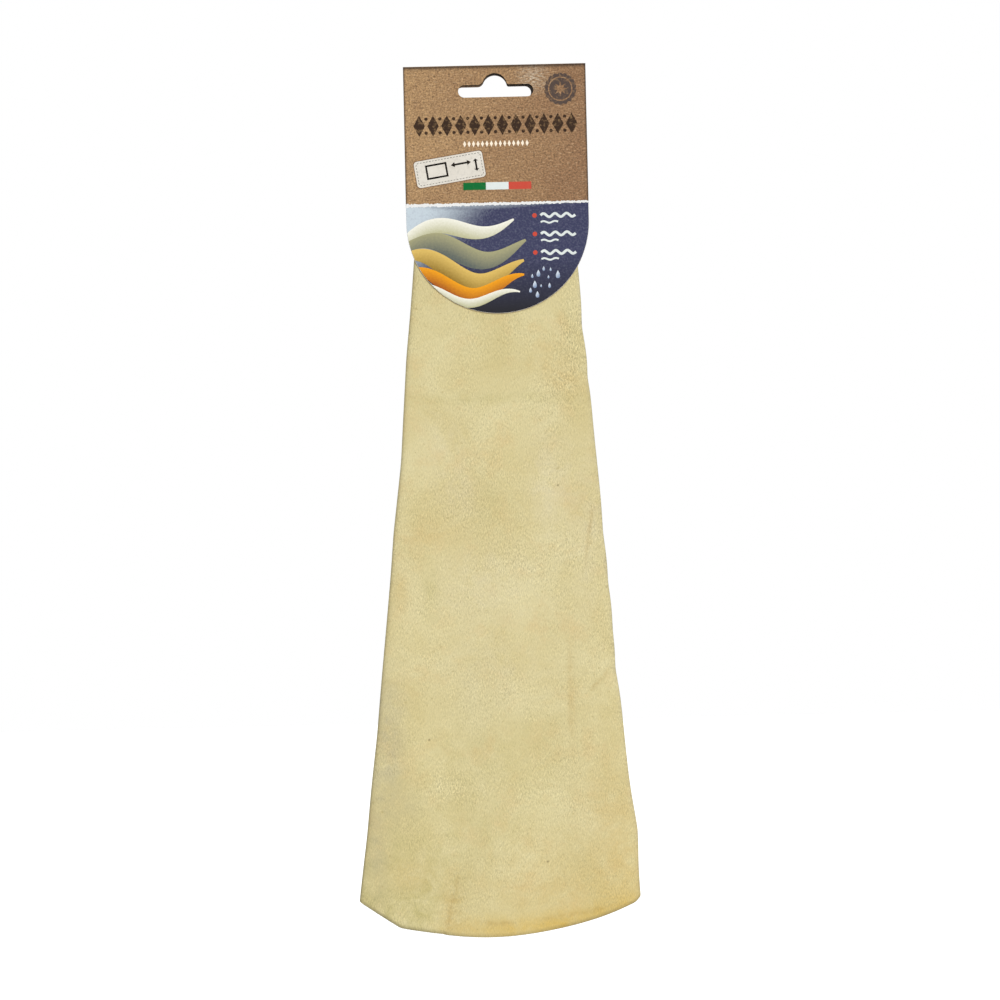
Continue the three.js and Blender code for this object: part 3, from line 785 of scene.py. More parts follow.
# Header card: one board creased along its top, in millimetres
card = {
    "width": 79.0, "thickness": 0.5, "foldInnerGap": 0.3, "bulgeStart": 14.0, "bulgeLength": 46.0,
    "creaseRise": 0.35, "tipDrop": 0.3,  # of the top over the hinge line, of the tip under the CAD's
    "slotWidth": 32.6, "slotHeight": 5.46, "slotStep": 1.2,
    "frontSlotAt": (0.45, -4.29), "backSlotAt": (-0.58, -5.25),  # middle and top, the hump not counted
    "humpX": 0.0, "humpRadius": 5.35, "humpRise": -0.45, "humpFillets": (2.8, 0.9),
    "slotShade": 0.99, "slotFade": 0.3, "slotFadeX": (2, 6),  # on the back leaf, seen in the front slot
    "gridStep": 2.2, "edgeStep": 1.1, "arcSteps": 72, "creaseBand": 2.0, "turnRows": 12, "bandRows": 5,
    "sharpAngle": 50.0, "edgeTouch": 0.01,  # a point that near the slot's outline counts as on it
}
foldZ = joints["card_crease"]["pos_m"][2] / mm + card["creaseRise"]
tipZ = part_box("front_leaf")[0].z / mm - card["tipDrop"]
leafInner = -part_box("front_leaf")[0].y / mm - card["thickness"]
turnRadius = card["foldInnerGap"] / 2 + card["thickness"] / 2  # of the crease, at the board's middle
turnLength = turnRadius * math.pi / 2
turnZ = foldZ - turnRadius - card["thickness"] / 2
halfWidth = card["width"] / 2
roundZ = tipZ + halfWidth  # middle of the half-round end


def boardZ(s):
    # height of a point that lies s down the board from the crease
    return turnZ - (abs(s) - turnLength)


def boardS(z):
    return turnLength + turnZ - z


def boardPoint(x, s):
    # place of the board's middle and the way its outer face looks; s above 0 is the front leaf
    side = -1.0 if s > 0 else 1.0
    if abs(s) < turnLength:
        angle = abs(s) / turnRadius
        outward = Vector((0, side * math.sin(angle), math.cos(angle)))
        return Vector((x, 0, turnZ)) + outward * turnRadius, outward
    z = boardZ(s)
    bulge = float(ramp(foldZ - z, card["bulgeStart"], card["bulgeLength"]))
    y = lerp(card["foldInnerGap"] / 2, leafInner, bulge) + card["thickness"] / 2
    return Vector((x, side * y, z)), Vector((0, side, 0))


def arcPoints(cx, cz, radius, start, end, steps):
    return [(cx + radius * math.cos(lerp(start, end, i / steps)),
             cz + radius * math.sin(lerp(start, end, i / steps))) for i in range(steps + 1)]


def slotOutline(dx, top):
    humpX, rise = card["humpX"], card["humpRise"]
    end = card["slotHeight"] / 2
    half = card["slotWidth"] / 2 - end
    quarter = math.pi / 2
    fillets = []
    for fillet in card["humpFillets"]:
        beside = math.sqrt((card["humpRadius"] + fillet) ** 2 - (fillet - rise) ** 2)
        fillets.append((fillet, beside, math.atan2(fillet - rise, beside)))
    (leftFillet, leftX, leftTilt), (rightFillet, rightX, rightTilt) = fillets
    # round the right end, over the hump and its fillets, round the left end; each arc's steps come last
    points = arcPoints(dx + half, top - end, end, -quarter, quarter, 14)
    points += arcPoints(humpX + rightX, top + rightFillet, rightFillet, -quarter, -math.pi + rightTilt, 6)
    points += arcPoints(humpX, top + rise, card["humpRadius"], rightTilt, math.pi - leftTilt, 28)
    points += arcPoints(humpX - leftX, top + leftFillet, leftFillet, -leftTilt, -quarter, 8)
    points += arcPoints(dx - half, top - end, end, quarter, 3 * quarter, 14)
    closer = []
    for a, b in zip(points, points[1:] + points[:1]):
        count = max(int(math.dist(a, b) / card["slotStep"]), 1)
        closer += [(lerp(a[0], b[0], i / count), lerp(a[1], b[1], i / count)) for i in range(count)]
    return closer


def insideOutline(point, outline):
    x, z = point
    crossings = 0
    for (ax, az), (bx, bz) in zip(outline, outline[1:] + outline[:1]):
        if (az > z) != (bz > z) and x < (bx - ax) * (z - az) / (bz - az) + ax:
            crossings += 1
    return crossings % 2 == 1


def fillOutline(outline, holes, step, extra=()):
    # triangles that fill an outline less its holes, with a grid of points and any extra ones inside
    def inHole(point):
        return any(insideOutline(point, hole) for hole in holes)
    loops = [outline] + holes
    points = [p for loop in loops for p in loop]
    edges = []
    first = 0
    for loop in loops:
        edges += [(first + i, first + (i + 1) % len(loop)) for i in range(len(loop))]
        first += len(loop)
    lows = [min(p[k] for p in outline) for k in (0, 1)]
    highs = [max(p[k] for p in outline) for k in (0, 1)]
    counts = [max(int((highs[k] - lows[k]) / step), 1) for k in (0, 1)]
    points += [p for p in extra if not inHole(p)]
    edgePoints = np.array(points)
    clearance = 0.45 * step  # of a grid point from any edge
    for i in range(1, counts[0]):
        for j in range(1, counts[1]):
            p = (lerp(lows[0], highs[0], i / counts[0]), lerp(lows[1], highs[1], j / counts[1]))
            isClear = np.min(np.hypot(*(edgePoints - p).T)) > clearance
            if isClear and insideOutline(p, outline) and not inHole(p):
                points.append(p)
    merge = 1e-6  # points nearer than this become one
    found = delaunay_2d_cdt([Vector(p) for p in points], edges, [], 0, merge)
    flat = [(v.x, v.y) for v in found[0]]
    triangles = []
    for face in found[2]:
        middle = np.mean([flat[i] for i in face], axis=0)
        if insideOutline(middle, outline) and not inHole(middle):
            triangles.append(tuple(face))
    return flat, triangles


def thickShell(flat, triangles, pointAt, low, high):
    # both faces and the rim of a sheet laid along pointAt, from low to high along its outward side
    placed = [pointAt(*p) for p in flat]
    points = [p + n * high for p, n in placed] + [p + n * low for p, n in placed]
    count = len(flat)
    outer, inner = [], []
    used = {}  # every triangle edge, kept in order
    for a, b, c in triangles:
        pa, pb, pc = points[a], points[b], points[c]
        if (pb - pa).cross(pc - pa).dot(placed[a][1] + placed[b][1] + placed[c][1]) < 0:
            b, c = c, b
        outer.append((a, b, c))
        inner.append((c + count, b + count, a + count))
        used.update(dict.fromkeys(((a, b), (b, c), (c, a))))
    rim = [(b, a, a + count, b + count) for a, b in used if (b, a) not in used]
    return points, outer, inner, rim


def leafFlat(sign, slot, extra=()):
    # one leaf below the crease band, as flat points (across, down the board) and triangles
    start, roundS = card["creaseBand"], boardS(roundZ)
    down = np.linspace(start, roundS, int((roundS - start) / card["edgeStep"]))
    outline = [(-halfWidth, s) for s in down]
    arc = arcPoints(0, roundZ, halfWidth, math.pi, 2 * math.pi, card["arcSteps"])
    outline += [(x, boardS(z)) for x, z in arc[1:]]
    outline += [(halfWidth, s) for s in down[::-1][1:]]
    count = int(card["width"] / card["gridStep"])
    outline += [(lerp(halfWidth, -halfWidth, i / count), start) for i in range(1, count)]
    hole, extra = [[(x, boardS(z)) for x, z in points] for points in (slot, extra)]
    flat, triangles = fillOutline(outline, [hole], card["gridStep"], extra)
    return [(x, sign * s) for x, s in flat], triangles


def creaseFlat():
    # the band across the crease, with close rows where the board turns
    count = int(card["width"] / card["gridStep"])
    turn = np.linspace(0, turnLength, card["turnRows"])
    half = np.concatenate([turn, np.linspace(turnLength, card["creaseBand"], card["bandRows"])[1:]])
    levels = np.concatenate([-half[::-1], half[1:]])
    flat = [(lerp(-halfWidth, halfWidth, i / count), s) for s in levels for i in range(count + 1)]
    triangles = []
    for r in range(len(levels) - 1):
        for i in range(count):
            a, b = r * (count + 1) + i, (r + 1) * (count + 1) + i
            triangles += [(a, a + 1, b), (a + 1, b + 1, b)]
    return flat, triangles


def joinFlats(parts):
    # one list of flat points from several parts that share their edge points
    index, flat, triangles = {}, [], []
    for points, faces in parts:
        own = []
        for x, s in points:
            key = (round(x, 3), round(s, 3))
            if key not in index:
                index[key] = len(flat)
                flat.append((x, s))
            own.append(index[key])
        triangles += [tuple(own[i] for i in f) for f in faces]
    return flat, triangles


def buildCard():
    frontSlot, backSlot = slotOutline(*card["frontSlotAt"]), slotOutline(*card["backSlotAt"])
    flat, triangles = joinFlats([leafFlat(1, frontSlot), leafFlat(-1, backSlot, frontSlot), creaseFlat()])
    half = card["thickness"] / 2
    points, outer, inner, rim = thickShell(flat, triangles, boardPoint, -half, half)
    faceSlots = [0] * len(outer) + [1] * len(inner) + [2] * len(rim)
    piece = meshObject("header_card", points, outer + inner + rim, [kraft, kraftInside, kraftCut], faceSlots)
    addFlatMap(piece, "flatBoard", flat + flat)
    slotEdge = np.array(frontSlot)
    shade = []
    for x, s in flat:
        place = (x, boardZ(s))
        isOnEdge = np.min(np.hypot(*(slotEdge - place).T)) < card["edgeTouch"]
        isSeen = s < 0 and (isOnEdge or insideOutline(place, frontSlot))
        fade = 1 - card["slotFade"] * float(ramp(-x, *card["slotFadeX"]))
        shade.append(card["slotShade"] * fade if isSeen else 0.0)
    addPointValue(piece, "slotShade", [0.0] * len(flat) + shade)
    piece.data.set_sharp_from_angle(angle=math.radians(card["sharpAngle"]))
    return piece


cardPiece = buildCard()
print("card:", len(cardPiece.data.polygons), "faces")

# Print on the front leaf: a plain generic design, laid on as thin films of ink and paper, in millimetres
ink = {
    "sunk": 0.03,  # how much of a film lies in the board
    # how far each layer stands off the board
    "lift": {"paper": 0.03, "ground": 0.05, "list": 0.09, "drop": 0.1, "torn": 0.16,
             "board": 0.04, "shade": 0.03, "label": 0.05, "sign": 0.07},
    "gridStep": 3.5, "sharpAngle": 40.0,
    # patterns on the flat board, given as for the chamois
    "noises": {"grain": (0.0009, 3.0, 0.65, 0.0), "drift": (0.012, 2.0, 0.5, 0.0),
               "wear": (0.0016, 4.0, 0.7, 0.0)},
    "wearFrom": 0.52, "wearTo": 0.68, "grainShare": 0.5, "bumpStrength": 0.2, "bumpHeight": 0.00004,
    "footFrom": 0.082, "footTo": 0.106,  # where the picture's foot darkens, in metres down the board
    "specular": 0.1,
}


def makeInk(name, light, dark, roughness=0.55, worn=0.0, wornTo=kraftLook["light"], runs=False, foot=None):
    # offset ink on board: fine grain, a drift of tone or a run across the shape, and wear
    material, tree, shader = newMaterial(name)
    flat = addNode(tree, "ShaderNodeUVMap", {"uv_map": "flatBoard"})
    needed = {"grain": True, "drift": not runs, "wear": worn}
    noises, shares = addPatterns(tree, flat, {
        "noises": {kind: ink["noises"][kind] for kind in needed if needed[kind]},
        "shares": {"worn": ("wear", ink["wearFrom"], ink["wearTo"], 0.0, worn)} if worn else {}})
    grain = noises["grain"]
    if runs:
        tone = addNode(tree, "ShaderNodeAttribute", {"attribute_name": "run"}).outputs["Fac"]
    else:
        tone = noises["drift"]
    share = addNode(tree, "ShaderNodeMath",
                    {"operation": "MULTIPLY_ADD", 1: ink["grainShare"], 2: -ink["grainShare"] / 2},
                    {0: grain})
    share = addNode(tree, "ShaderNodeMath", {"operation": "ADD", "use_clamp": True}, {0: share, 1: tone})
    tints = [(shares["worn"], wornTo)] if worn else []
    if foot:
        down = addNode(tree, "ShaderNodeSeparateXYZ", {}, {"Vector": flat}).outputs["Y"]
        shows = addNode(tree, "ShaderNodeMapRange", {"From Min": ink["footFrom"], "From Max": ink["footTo"]},
                        {"Value": down})
        tints.append((shows, foot))
    color = layTints(tree, share, light, dark, tints)
    bump = addNode(tree, "ShaderNodeBump", {"Strength": ink["bumpStrength"], "Distance": ink["bumpHeight"]},
                   {"Height": grain})
    setNode(tree, shader, {"Roughness": roughness, "Specular IOR Level": ink["specular"]},
            {"Base Color": color, "Normal": bump})
    return material


inks = {
    "brown": makeInk("dark brown ink", "#2C1C11", "#3D2B1E", worn=0.55),
    "seal": makeInk("faded brown ink", "#4A3D38", "#584A43", worn=0.5),
    "cream": makeInk("cream ink", "#FFF3E0", "#F2E3CC", worn=0.15),
    "label": makeInk("label paper", "#EAE5DC", "#D0C9BC", worn=0.4, wornTo="#ABA49B"),
    "shade": makeInk("label shade ink", "#7C5E42", "#715439"),
    "black": makeInk("black ink", "#100B08", "#18120E", worn=0.05),
    "green": makeInk("green ink", "#006A2F", "#056631", worn=0.05),
    "white": makeInk("white ink", "#E4EAE8", "#D2D9D6", worn=0.05),
    "red": makeInk("red ink", "#CB4738", "#C24E3E", worn=0.12),
    "torn": makeInk("torn white paper", "#F4F3F0", "#DADCDD", roughness=0.8),
    "navy": makeInk("navy picture ink", "#C4D0D8", "#3B3D5A", worn=0.22, wornTo="#86849C", runs=True,
                    foot="#26262C"),
    "foam": makeInk("pale wave ink", "#F1EFE2", "#B9B78F", runs=True),
    "sage": makeInk("sage wave ink", "#A6A27C", "#5E6560", runs=True),
    "gold": makeInk("gold wave ink", "#DDBB66", "#93752F", runs=True),
    "amber": makeInk("amber wave ink", "#F0A01E", "#9C4F1E", runs=True),
    "drop": makeInk("water drop ink", "#DCE4EC", "#7F93B4", runs=True),
}


def onFront(x, z):
    place, outward = boardPoint(x, boardS(z))
    return place + outward * card["thickness"] / 2, outward


def filmMesh(name, outline, holes, step, pointAt, lift, materials, run):
    # one film cut to an outline and laid along pointAt; run gives each point its place in a gradient
    flat, triangles = fillOutline(outline, list(holes), step)
    points, outer, inner, rim = thickShell(flat, triangles, pointAt, -ink["sunk"], lift)
    piece = meshObject(name, points, outer + inner + rim, materials)
    if run:
        addPointValue(piece, "run", [run(x, z) for x, z in flat] * 2)
    piece.data.set_sharp_from_angle(angle=math.radians(ink["sharpAngle"]))
    return piece, flat


def printShape(name, outline, inkName, lift, holes=(), step=ink["gridStep"], run=None):
    # a film on the front leaf, its outline in the card's own x and z
    piece, flat = filmMesh(name, outline, holes, step, onFront, lift, [inks[inkName]], run)
    addFlatMap(piece, "flatBoard", [(x, boardS(z)) for x, z in flat] * 2)
    return piece


def turned(points, degrees, dx, dz):
    c, s = math.cos(math.radians(degrees)), math.sin(math.radians(degrees))
    return [(x * c - z * s + dx, x * s + z * c + dz) for x, z in points]


def boxOutline(width, height, radius=0.0, steps=5):
    w, h, quarter = width / 2 - radius, height / 2 - radius, math.pi / 2
    if radius <= 0:
        return [(-w, -h), (w, -h), (w, h), (-w, h)]
    points = []
    for k, (cx, cz) in enumerate(((w, h), (-w, h), (-w, -h), (w, -h))):
        points += arcPoints(cx, cz, radius, k * quarter, (k + 1) * quarter, steps)
    return points


def discOutline(cx, cz, radius, steps=20):
    return arcPoints(cx, cz, radius, 0, 2 * math.pi * (steps - 1) / steps, steps - 1)


# Picture on the tongue: waves and drops over a dusk ground, with a list of wavy lines beside them
picture = {
    "topZ": -56.2, "paperInset": 0.03, "edgeInset": 0.1, "waveInset": 0.13,
    "groundStep": 2.5, "duskLength": 34.0, "duskLean": 0.9, "duskZ": -60.0,
    # torn paper along the top: its upper edge, its lower edge from left to right
    "tearTop": -55.6, "tearLow": (-57.0, -56.5), "tearRough": 0.28, "tearStep": 0.5, "tearInset": 0.05,
    "tearSeed": 7,
    # each wave: start, end, bow to the upper side, greatest width, ink, lift
    "waves": [
        ((-40, -70.5), (7, -63.0), 3.4, 6.6, "foam", 0.11),
        ((-40, -77.0), (12, -74.5), 5.2, 8.6, "sage", 0.10),
        ((-39, -83.0), (11, -85.5), 5.6, 8.4, "gold", 0.12),
        ((-36, -89.5), (11, -92.0), 5.0, 6.8, "amber", 0.13),
        ((-31, -94.0), (9, -97.5), 3.4, 3.6, "foam", 0.14),
    ],
    "waveSteps": 44, "waveGrid": 1.6, "wavePhase": 0.5, "waveGap": 0.05,
    "waveTip": 0.25, "waveSpan": (0.12, 0.86), "wavePower": 0.9,  # how its width swells and tapers
    # list: round bullets, then wavy lines, each by its drop under the bullet and its share of the size
    "dotX": 16.0, "dotZ": (-61.6, -69.6, -77.6), "dotRadius": 1.0,
    "lineGap": 2.6, "lineRows": ((0.0, 1.0), (-2.9, 0.5)), "lineLength": 15.0, "lineWidth": 1.1,
    "lineSwing": 0.75, "lineTurns": 3, "lineSteps": 36,
    # strewn drops: a ring part of the tongue by radius and angle, then size, least gap, drops a square metre
    "drops": {"reach": 36.5, "inner": 27.0, "from": -66, "to": -41, "patchSteps": 24, "patchGrid": 3.0,
              "size": 1.5, "slimness": 0.72, "outlineSteps": 24, "gap": 2.7, "density": 2.5e5,
              "smallest": 0.4, "largest": 1.15, "seed": 4,
              "tipPower": 1.2, "gleamDown": 0.45, "gleamAcross": 0.3},  # how a drop narrows and shines
}


def tongueShape(inset):
    # the tongue below the picture's top, inset from its cut edge
    side = halfWidth - inset
    arc = arcPoints(0, roundZ, side, math.pi, 2 * math.pi, card["arcSteps"])
    return [(-side, picture["topZ"]), (-side, roundZ)] + arc[1:] + [(side, picture["topZ"])]


def tongueClamp(x, z, inset):
    # nearest point to (x, z) that stays on the tongue, inset from its cut edge
    side = halfWidth - inset
    if z >= roundZ:
        return max(-side, min(side, x)), z
    share = min(1.0, side / math.hypot(x, z - roundZ))
    return x * share, roundZ + (z - roundZ) * share


def ribbonOutline(centre, width):
    # both edges of a ribbon about a centre line, as wide as width says at each share of its length
    upper, lower = [], []
    for i, (x, z) in enumerate(centre):
        ax, az = centre[max(i - 1, 0)]
        bx, bz = centre[min(i + 1, len(centre) - 1)]
        length = math.hypot(bx - ax, bz - az)
        half = width(i / (len(centre) - 1)) / 2
        nx, nz = -(bz - az) / length * half, (bx - ax) / length * half
        upper.append((x + nx, z + nz))
        lower.append((x - nx, z - nz))
    return upper, lower


def printWave(k, start, end, bow, widest, inkName, lift):
    p = picture
    centre = []
    for i in range(p["waveSteps"] + 1):
        t = i / p["waveSteps"]
        swing = bow * math.sin(2 * math.pi * t + p["wavePhase"] * k)
        centre.append((lerp(start[0], end[0], t), lerp(start[1], end[1], t) + swing))
    first, rest = p["waveSpan"]

    def width(t):
        return p["waveTip"] + widest * math.sin(math.pi * (first + rest * t)) ** p["wavePower"]
    upper, lower = ribbonOutline(centre, width)
    outline = [tongueClamp(x, z, p["waveInset"]) for x, z in lower + upper[::-1]]
    clean = [outline[0]]
    for point in outline[1:]:
        if min(math.dist(point, clean[-1]), math.dist(point, clean[0])) > p["waveGap"]:
            clean.append(point)
    ends, heights = zip(*upper)

    def across(x, z):
        return float(np.clip((np.interp(x, ends, heights) - z) / widest, 0, 1))
    return printShape("picture_wave_%d" % (k + 1), clean, inkName, lift, run=across, step=p["waveGrid"])


def printTear():
    p = picture
    rng = np.random.default_rng(p["tearSeed"])
    count = int(card["width"] / p["tearStep"])
    xs = np.linspace(-halfWidth + p["tearInset"], halfWidth - p["tearInset"], count)
    upper = p["tearTop"] + p["tearRough"] * rng.uniform(-1, 1, count)
    lower = np.linspace(*p["tearLow"], count) + p["tearRough"] * rng.uniform(-1, 1, count)
    outline = list(zip(xs, lower)) + list(zip(xs[::-1], upper[::-1]))
    return printShape("torn_strip", [(float(x), float(z)) for x, z in outline], "torn", ink["lift"]["torn"])


def printList():
    p, lift = picture, ink["lift"]["list"]
    pieces = []
    for k, z in enumerate(p["dotZ"]):
        dot = discOutline(p["dotX"], z, p["dotRadius"])
        pieces.append(printShape("list_dot_%d" % (k + 1), dot, "red", lift))
        for row, (drop, share) in enumerate(p["lineRows"]):
            steps = int(p["lineSteps"] * share)
            centre = []
            for i in range(steps + 1):
                wave = math.sin(2 * math.pi * p["lineTurns"] * share * i / steps)
                centre.append((p["dotX"] + p["lineGap"] + p["lineLength"] * share * i / steps,
                               z + drop + share * p["lineSwing"] * wave))
            upper, lower = ribbonOutline(centre, lambda t: p["lineWidth"] * math.sqrt(share))
            name = "list_wave_%d_%d" % (k + 1, row + 1)
            pieces.append(printShape(name, lower + upper[::-1], "white", lift))
    return pieces


def buildPicture():
    p, lift = picture, ink["lift"]

    def dusk(x, z):
        return float(smooth((x + p["duskLength"] - p["duskLean"] * (z - p["duskZ"])) / p["duskLength"]))
    pieces = [printShape("picture_paper", tongueShape(p["paperInset"]), "torn", lift["paper"]),
              printShape("picture_ground", tongueShape(p["edgeInset"]), "navy", lift["ground"], run=dusk,
                         step=p["groundStep"])]
    pieces += [printWave(k, *wave) for k, wave in enumerate(p["waves"])]
    return pieces + [printTear()] + printList()


# Small print on the kraft: a lozenge frieze, a stripe, a paper label with a size sign and a plain seal
kraftPrint = {
    "friezeZ": -21.8, "friezeWidth": 66.0, "lozenges": 12, "lozengeSize": (5.0, 9.2),
    "beadRadius": 0.75, "beadRise": 0.33,
    "rowZ": -30.0, "rowWidth": 27.0, "rowCount": 15, "dashSize": (1.35, 2.8),
    "labelAt": (-20.2, -40.8), "labelTurn": 9.0, "labelSize": (30.0, 11.6), "labelRadius": 1.5,
    "labelFringe": 0.3,
    "stitchInset": 0.9, "stitches": 56, "stitchSize": (0.75, 0.2), "stitchRadius": 1.0,
    # size sign on the label: a sheet's outer and inner size, then arrows across and along it
    "sheetAt": (-5.6, -0.6), "sheetSizes": ((9.4, 6.4), (7.8, 4.8)),
    "arrow": [(-4.4, 0), (-2.7, -1.15), (-2.7, -0.4), (2.7, -0.4), (2.7, -1.15), (4.4, 0),
              (2.7, 1.15), (2.7, 0.4), (-2.7, 0.4), (-2.7, 1.15)],
    # each arrow: share of its length, turn, place
    "arrows": (("across", 1.0, 0, (5.2, 1.6)), ("along", 0.62, 90, (11.6, 0.0))),
    "stripeAt": (0.2, -48.4), "stripeSize": (29.4, 3.2), "stripeInks": ("green", "white", "red"),
    # seal: its radius, then the shares of it that its ring's hole, its disc and its star's points take
    "sealAt": (28.4, -6.8), "sealRadius": 7.0, "sealScallops": 18, "sealRing": 0.76, "sealDisc": 0.68,
    "sealStar": 8, "starReach": (0.46, 0.2), "sealSteps": 48, "motifGrid": 2.5,
}


def flatMotif(outline, lift, run=None):
    # a small slab in the flat, x across, y up and z out of the card
    def inFlat(x, z):
        return Vector((x, z, 0)), Vector((0, 0, 1))
    return filmMesh("motif", outline, (), kraftPrint["motifGrid"], inFlat, lift, [], run)[0]


def layOnCard(name, mesh):
    # wraps a flat printed mesh on to the front leaf
    piece = addObject(name, mesh)
    addFlatMap(piece, "flatBoard", [(v.co.x / mm, boardS(v.co.y / mm)) for v in mesh.vertices])
    for v in mesh.vertices:
        place, outward = onFront(v.co.x / mm, v.co.y / mm)
        v.co = place * mm + outward * v.co.z
    return piece


def printRow(name, path, outline, count, inkName, lift, closed=False):
    # a motif repeated along a path drawn in the card's x and z
    base = lineObject(name, [(x, z, 0) for x, z in path], closed)
    motif = flatMotif(outline, lift)
    mesh = bakeNodes(base, motifTree, {"Motif": motif, "Count": count, "Material": inks[inkName]})
    bpy.data.objects.remove(motif)
    return layOnCard(name, mesh)


def printDrops():
    # drops strewn over the lower right of the picture
    d = picture["drops"]
    size, steps = d["size"], d["outlineSteps"]
    low, high = math.radians(d["from"]), math.radians(d["to"])
    patch = arcPoints(0, roundZ, d["reach"], low, high, d["patchSteps"])
    patch += arcPoints(0, roundZ, d["inner"], high, low, d["patchSteps"])
    flat, triangles = fillOutline(patch, [], d["patchGrid"])
    base = meshObject("picture_drops", [(x, z, 0) for x, z in flat], triangles, [])
    outline = []
    for i in range(steps):
        a = 2 * math.pi * i / steps
        wide = size * d["slimness"] * math.sin(a) * math.sin(a / 2) ** d["tipPower"]
        outline.append((wide, size * math.cos(a)))

    def gleam(x, z):
        return float(smooth(0.5 - d["gleamDown"] * z / size + d["gleamAcross"] * x / size))
    motif = flatMotif(outline, ink["lift"]["drop"], gleam)
    mesh = bakeNodes(base, scatterTree,
                     {"Motif": motif, "Gap": d["gap"] * mm, "Density": d["density"],
                      "Smallest": d["smallest"], "Largest": d["largest"], "Seed": d["seed"],
                      "Material": inks["drop"]})
    bpy.data.objects.remove(motif)
    return layOnCard("picture_drops", mesh)


def lozenge(width, height):
    return [(-width / 2, 0), (0, -height / 2), (width / 2, 0), (0, height / 2)]


def starOutline(x, z, outer, inner, points):
    return [(x + r * math.cos(math.pi * i / points), z + r * math.sin(math.pi * i / points))
            for i, r in enumerate((outer, inner) * points)]


def scallopOutline(x, z, radius, scallops, depth=0.08, steps=8):
    outline = []
    for i in range(scallops * steps):
        angle = 2 * math.pi * i / (scallops * steps)
        reach = radius * (1 - depth + depth * abs(math.sin(scallops * angle / 2)))
        outline.append((x + reach * math.cos(angle), z + reach * math.sin(angle)))
    return outline


def printRows():
    # rows of one motif: the frieze, the beads over and under it, the small dashes
    k = kraftPrint
    wide, tall = k["lozengeSize"]
    half = k["friezeWidth"] / 2
    inner = half - k["friezeWidth"] / (k["lozenges"] - 1) / 2
    bead = discOutline(0, 0, k["beadRadius"], 14)
    rise = k["beadRise"] * tall
    rows = [("lozenge_frieze", half, k["friezeZ"], lozenge(wide, tall), k["lozenges"], "brown"),
            ("frieze_beads_low", inner, k["friezeZ"] - rise, bead, k["lozenges"] - 1, "brown"),
            ("frieze_beads_top", inner, k["friezeZ"] + rise, bead, k["lozenges"] - 1, "brown"),
            ("cream_dashes", k["rowWidth"] / 2, k["rowZ"], lozenge(*k["dashSize"]), k["rowCount"], "cream")]
    return [printRow(name, [(-reach, z), (reach, z)], outline, count, inkName, ink["lift"]["board"])
            for name, reach, z, outline, count, inkName in rows]


def printLabel():
    k, lift = kraftPrint, ink["lift"]
    at, turn = k["labelAt"], k["labelTurn"]
    wide, tall = k["labelSize"]

    def labelBox(more, radius):
        return turned(boxOutline(wide + more, tall + more, radius), turn, *at)
    radius = k["labelRadius"]
    pieces = [printShape("label_shade", labelBox(2 * k["labelFringe"], radius), "shade", lift["shade"]),
              printShape("paper_label", labelBox(0, radius), "label", lift["label"]),
              printRow("label_stitches", labelBox(-2 * k["stitchInset"], k["stitchRadius"]),
                       boxOutline(*k["stitchSize"]), k["stitches"], "black", lift["sign"], True)]
    sheet = [turned(boxOutline(*size), turn, at[0] + k["sheetAt"][0], at[1] + k["sheetAt"][1])
             for size in k["sheetSizes"]]
    pieces.append(printShape("size_sign_sheet", sheet[0], "black", lift["sign"], [sheet[1]]))
    for name, length, spin, place in k["arrows"]:
        middle = turned([place], turn, *at)[0]
        shape = turned([(x * length, z) for x, z in k["arrow"]], turn + spin, *middle)
        pieces.append(printShape("size_sign_" + name, shape, "black", lift["sign"]))
    return pieces


def buildKraftPrint():
    k, lift = kraftPrint, ink["lift"]["board"]
    pieces = printRows() + printLabel()
    wide, tall = k["stripeSize"]
    for i, name in enumerate(k["stripeInks"]):
        band = turned(boxOutline(wide / 3, tall), 0, k["stripeAt"][0] + (i - 1) * wide / 3, k["stripeAt"][1])
        pieces.append(printShape("stripe_" + name, band, name, lift))
    at, size, steps = k["sealAt"], k["sealRadius"], k["sealSteps"]
    ring, disc = (discOutline(*at, share * size, steps) for share in (k["sealRing"], k["sealDisc"]))
    star = starOutline(*at, *(share * size for share in k["starReach"]), k["sealStar"])
    pieces.append(printShape("seal_rim", scallopOutline(*at, size, k["sealScallops"]), "seal", lift, [ring]))
    pieces.append(printShape("seal_middle", disc, "seal", lift, [star]))
    return pieces


printPieces = buildPicture() + buildKraftPrint() + [printDrops()]
for piece in printPieces:
    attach(piece, "card_front")
print("print:", len(printPieces), "films")

# Staples: galvanised wire, bright grey with fine drawn lines and dull spots of zinc
staple = {
    "thickness": 0.5, "width": 0.7, "bend": 0.45, "soften": 0.15, "clinch": 4.0, "sharpAngle": 50.0,
    "bright": "#C2C6C9", "dull": "#8F9498", "lineStrength": 0.2, "lineHeight": 0.00002,
    # patterns in the object's own place, given as for the chamois
    "noises": {"spots": (0.0006, 3.0, 0.5, 0.0), "lines": (0.00006, 2.0, 0.5, 0.0, 0.0, (0.05, 0.05, 1.0))},
    "shares": {"rough": ("spots", 0.0, 1.0, 0.28, 0.55)},
}


def makeZinc():
    material, tree, shader = newMaterial("galvanised wire")
    place = addNode(tree, "ShaderNodeTexCoord").outputs["Object"]
    noises, shares = addPatterns(tree, place, staple)
    color = addNode(tree, "ShaderNodeMix",
                    {"data_type": "RGBA", 6: linearColor(staple["bright"]), 7: linearColor(staple["dull"])},
                    {0: noises["spots"]})
    bump = addNode(tree, "ShaderNodeBump",
                   {"Strength": staple["lineStrength"], "Distance": staple["lineHeight"]},
                   {"Height": noises["lines"]})
    setNode(tree, shader, {"Metallic": 1.0},
            {"Base Color": color, "Normal": bump, "Roughness": shares["rough"]})
    return material


zinc = makeZinc()


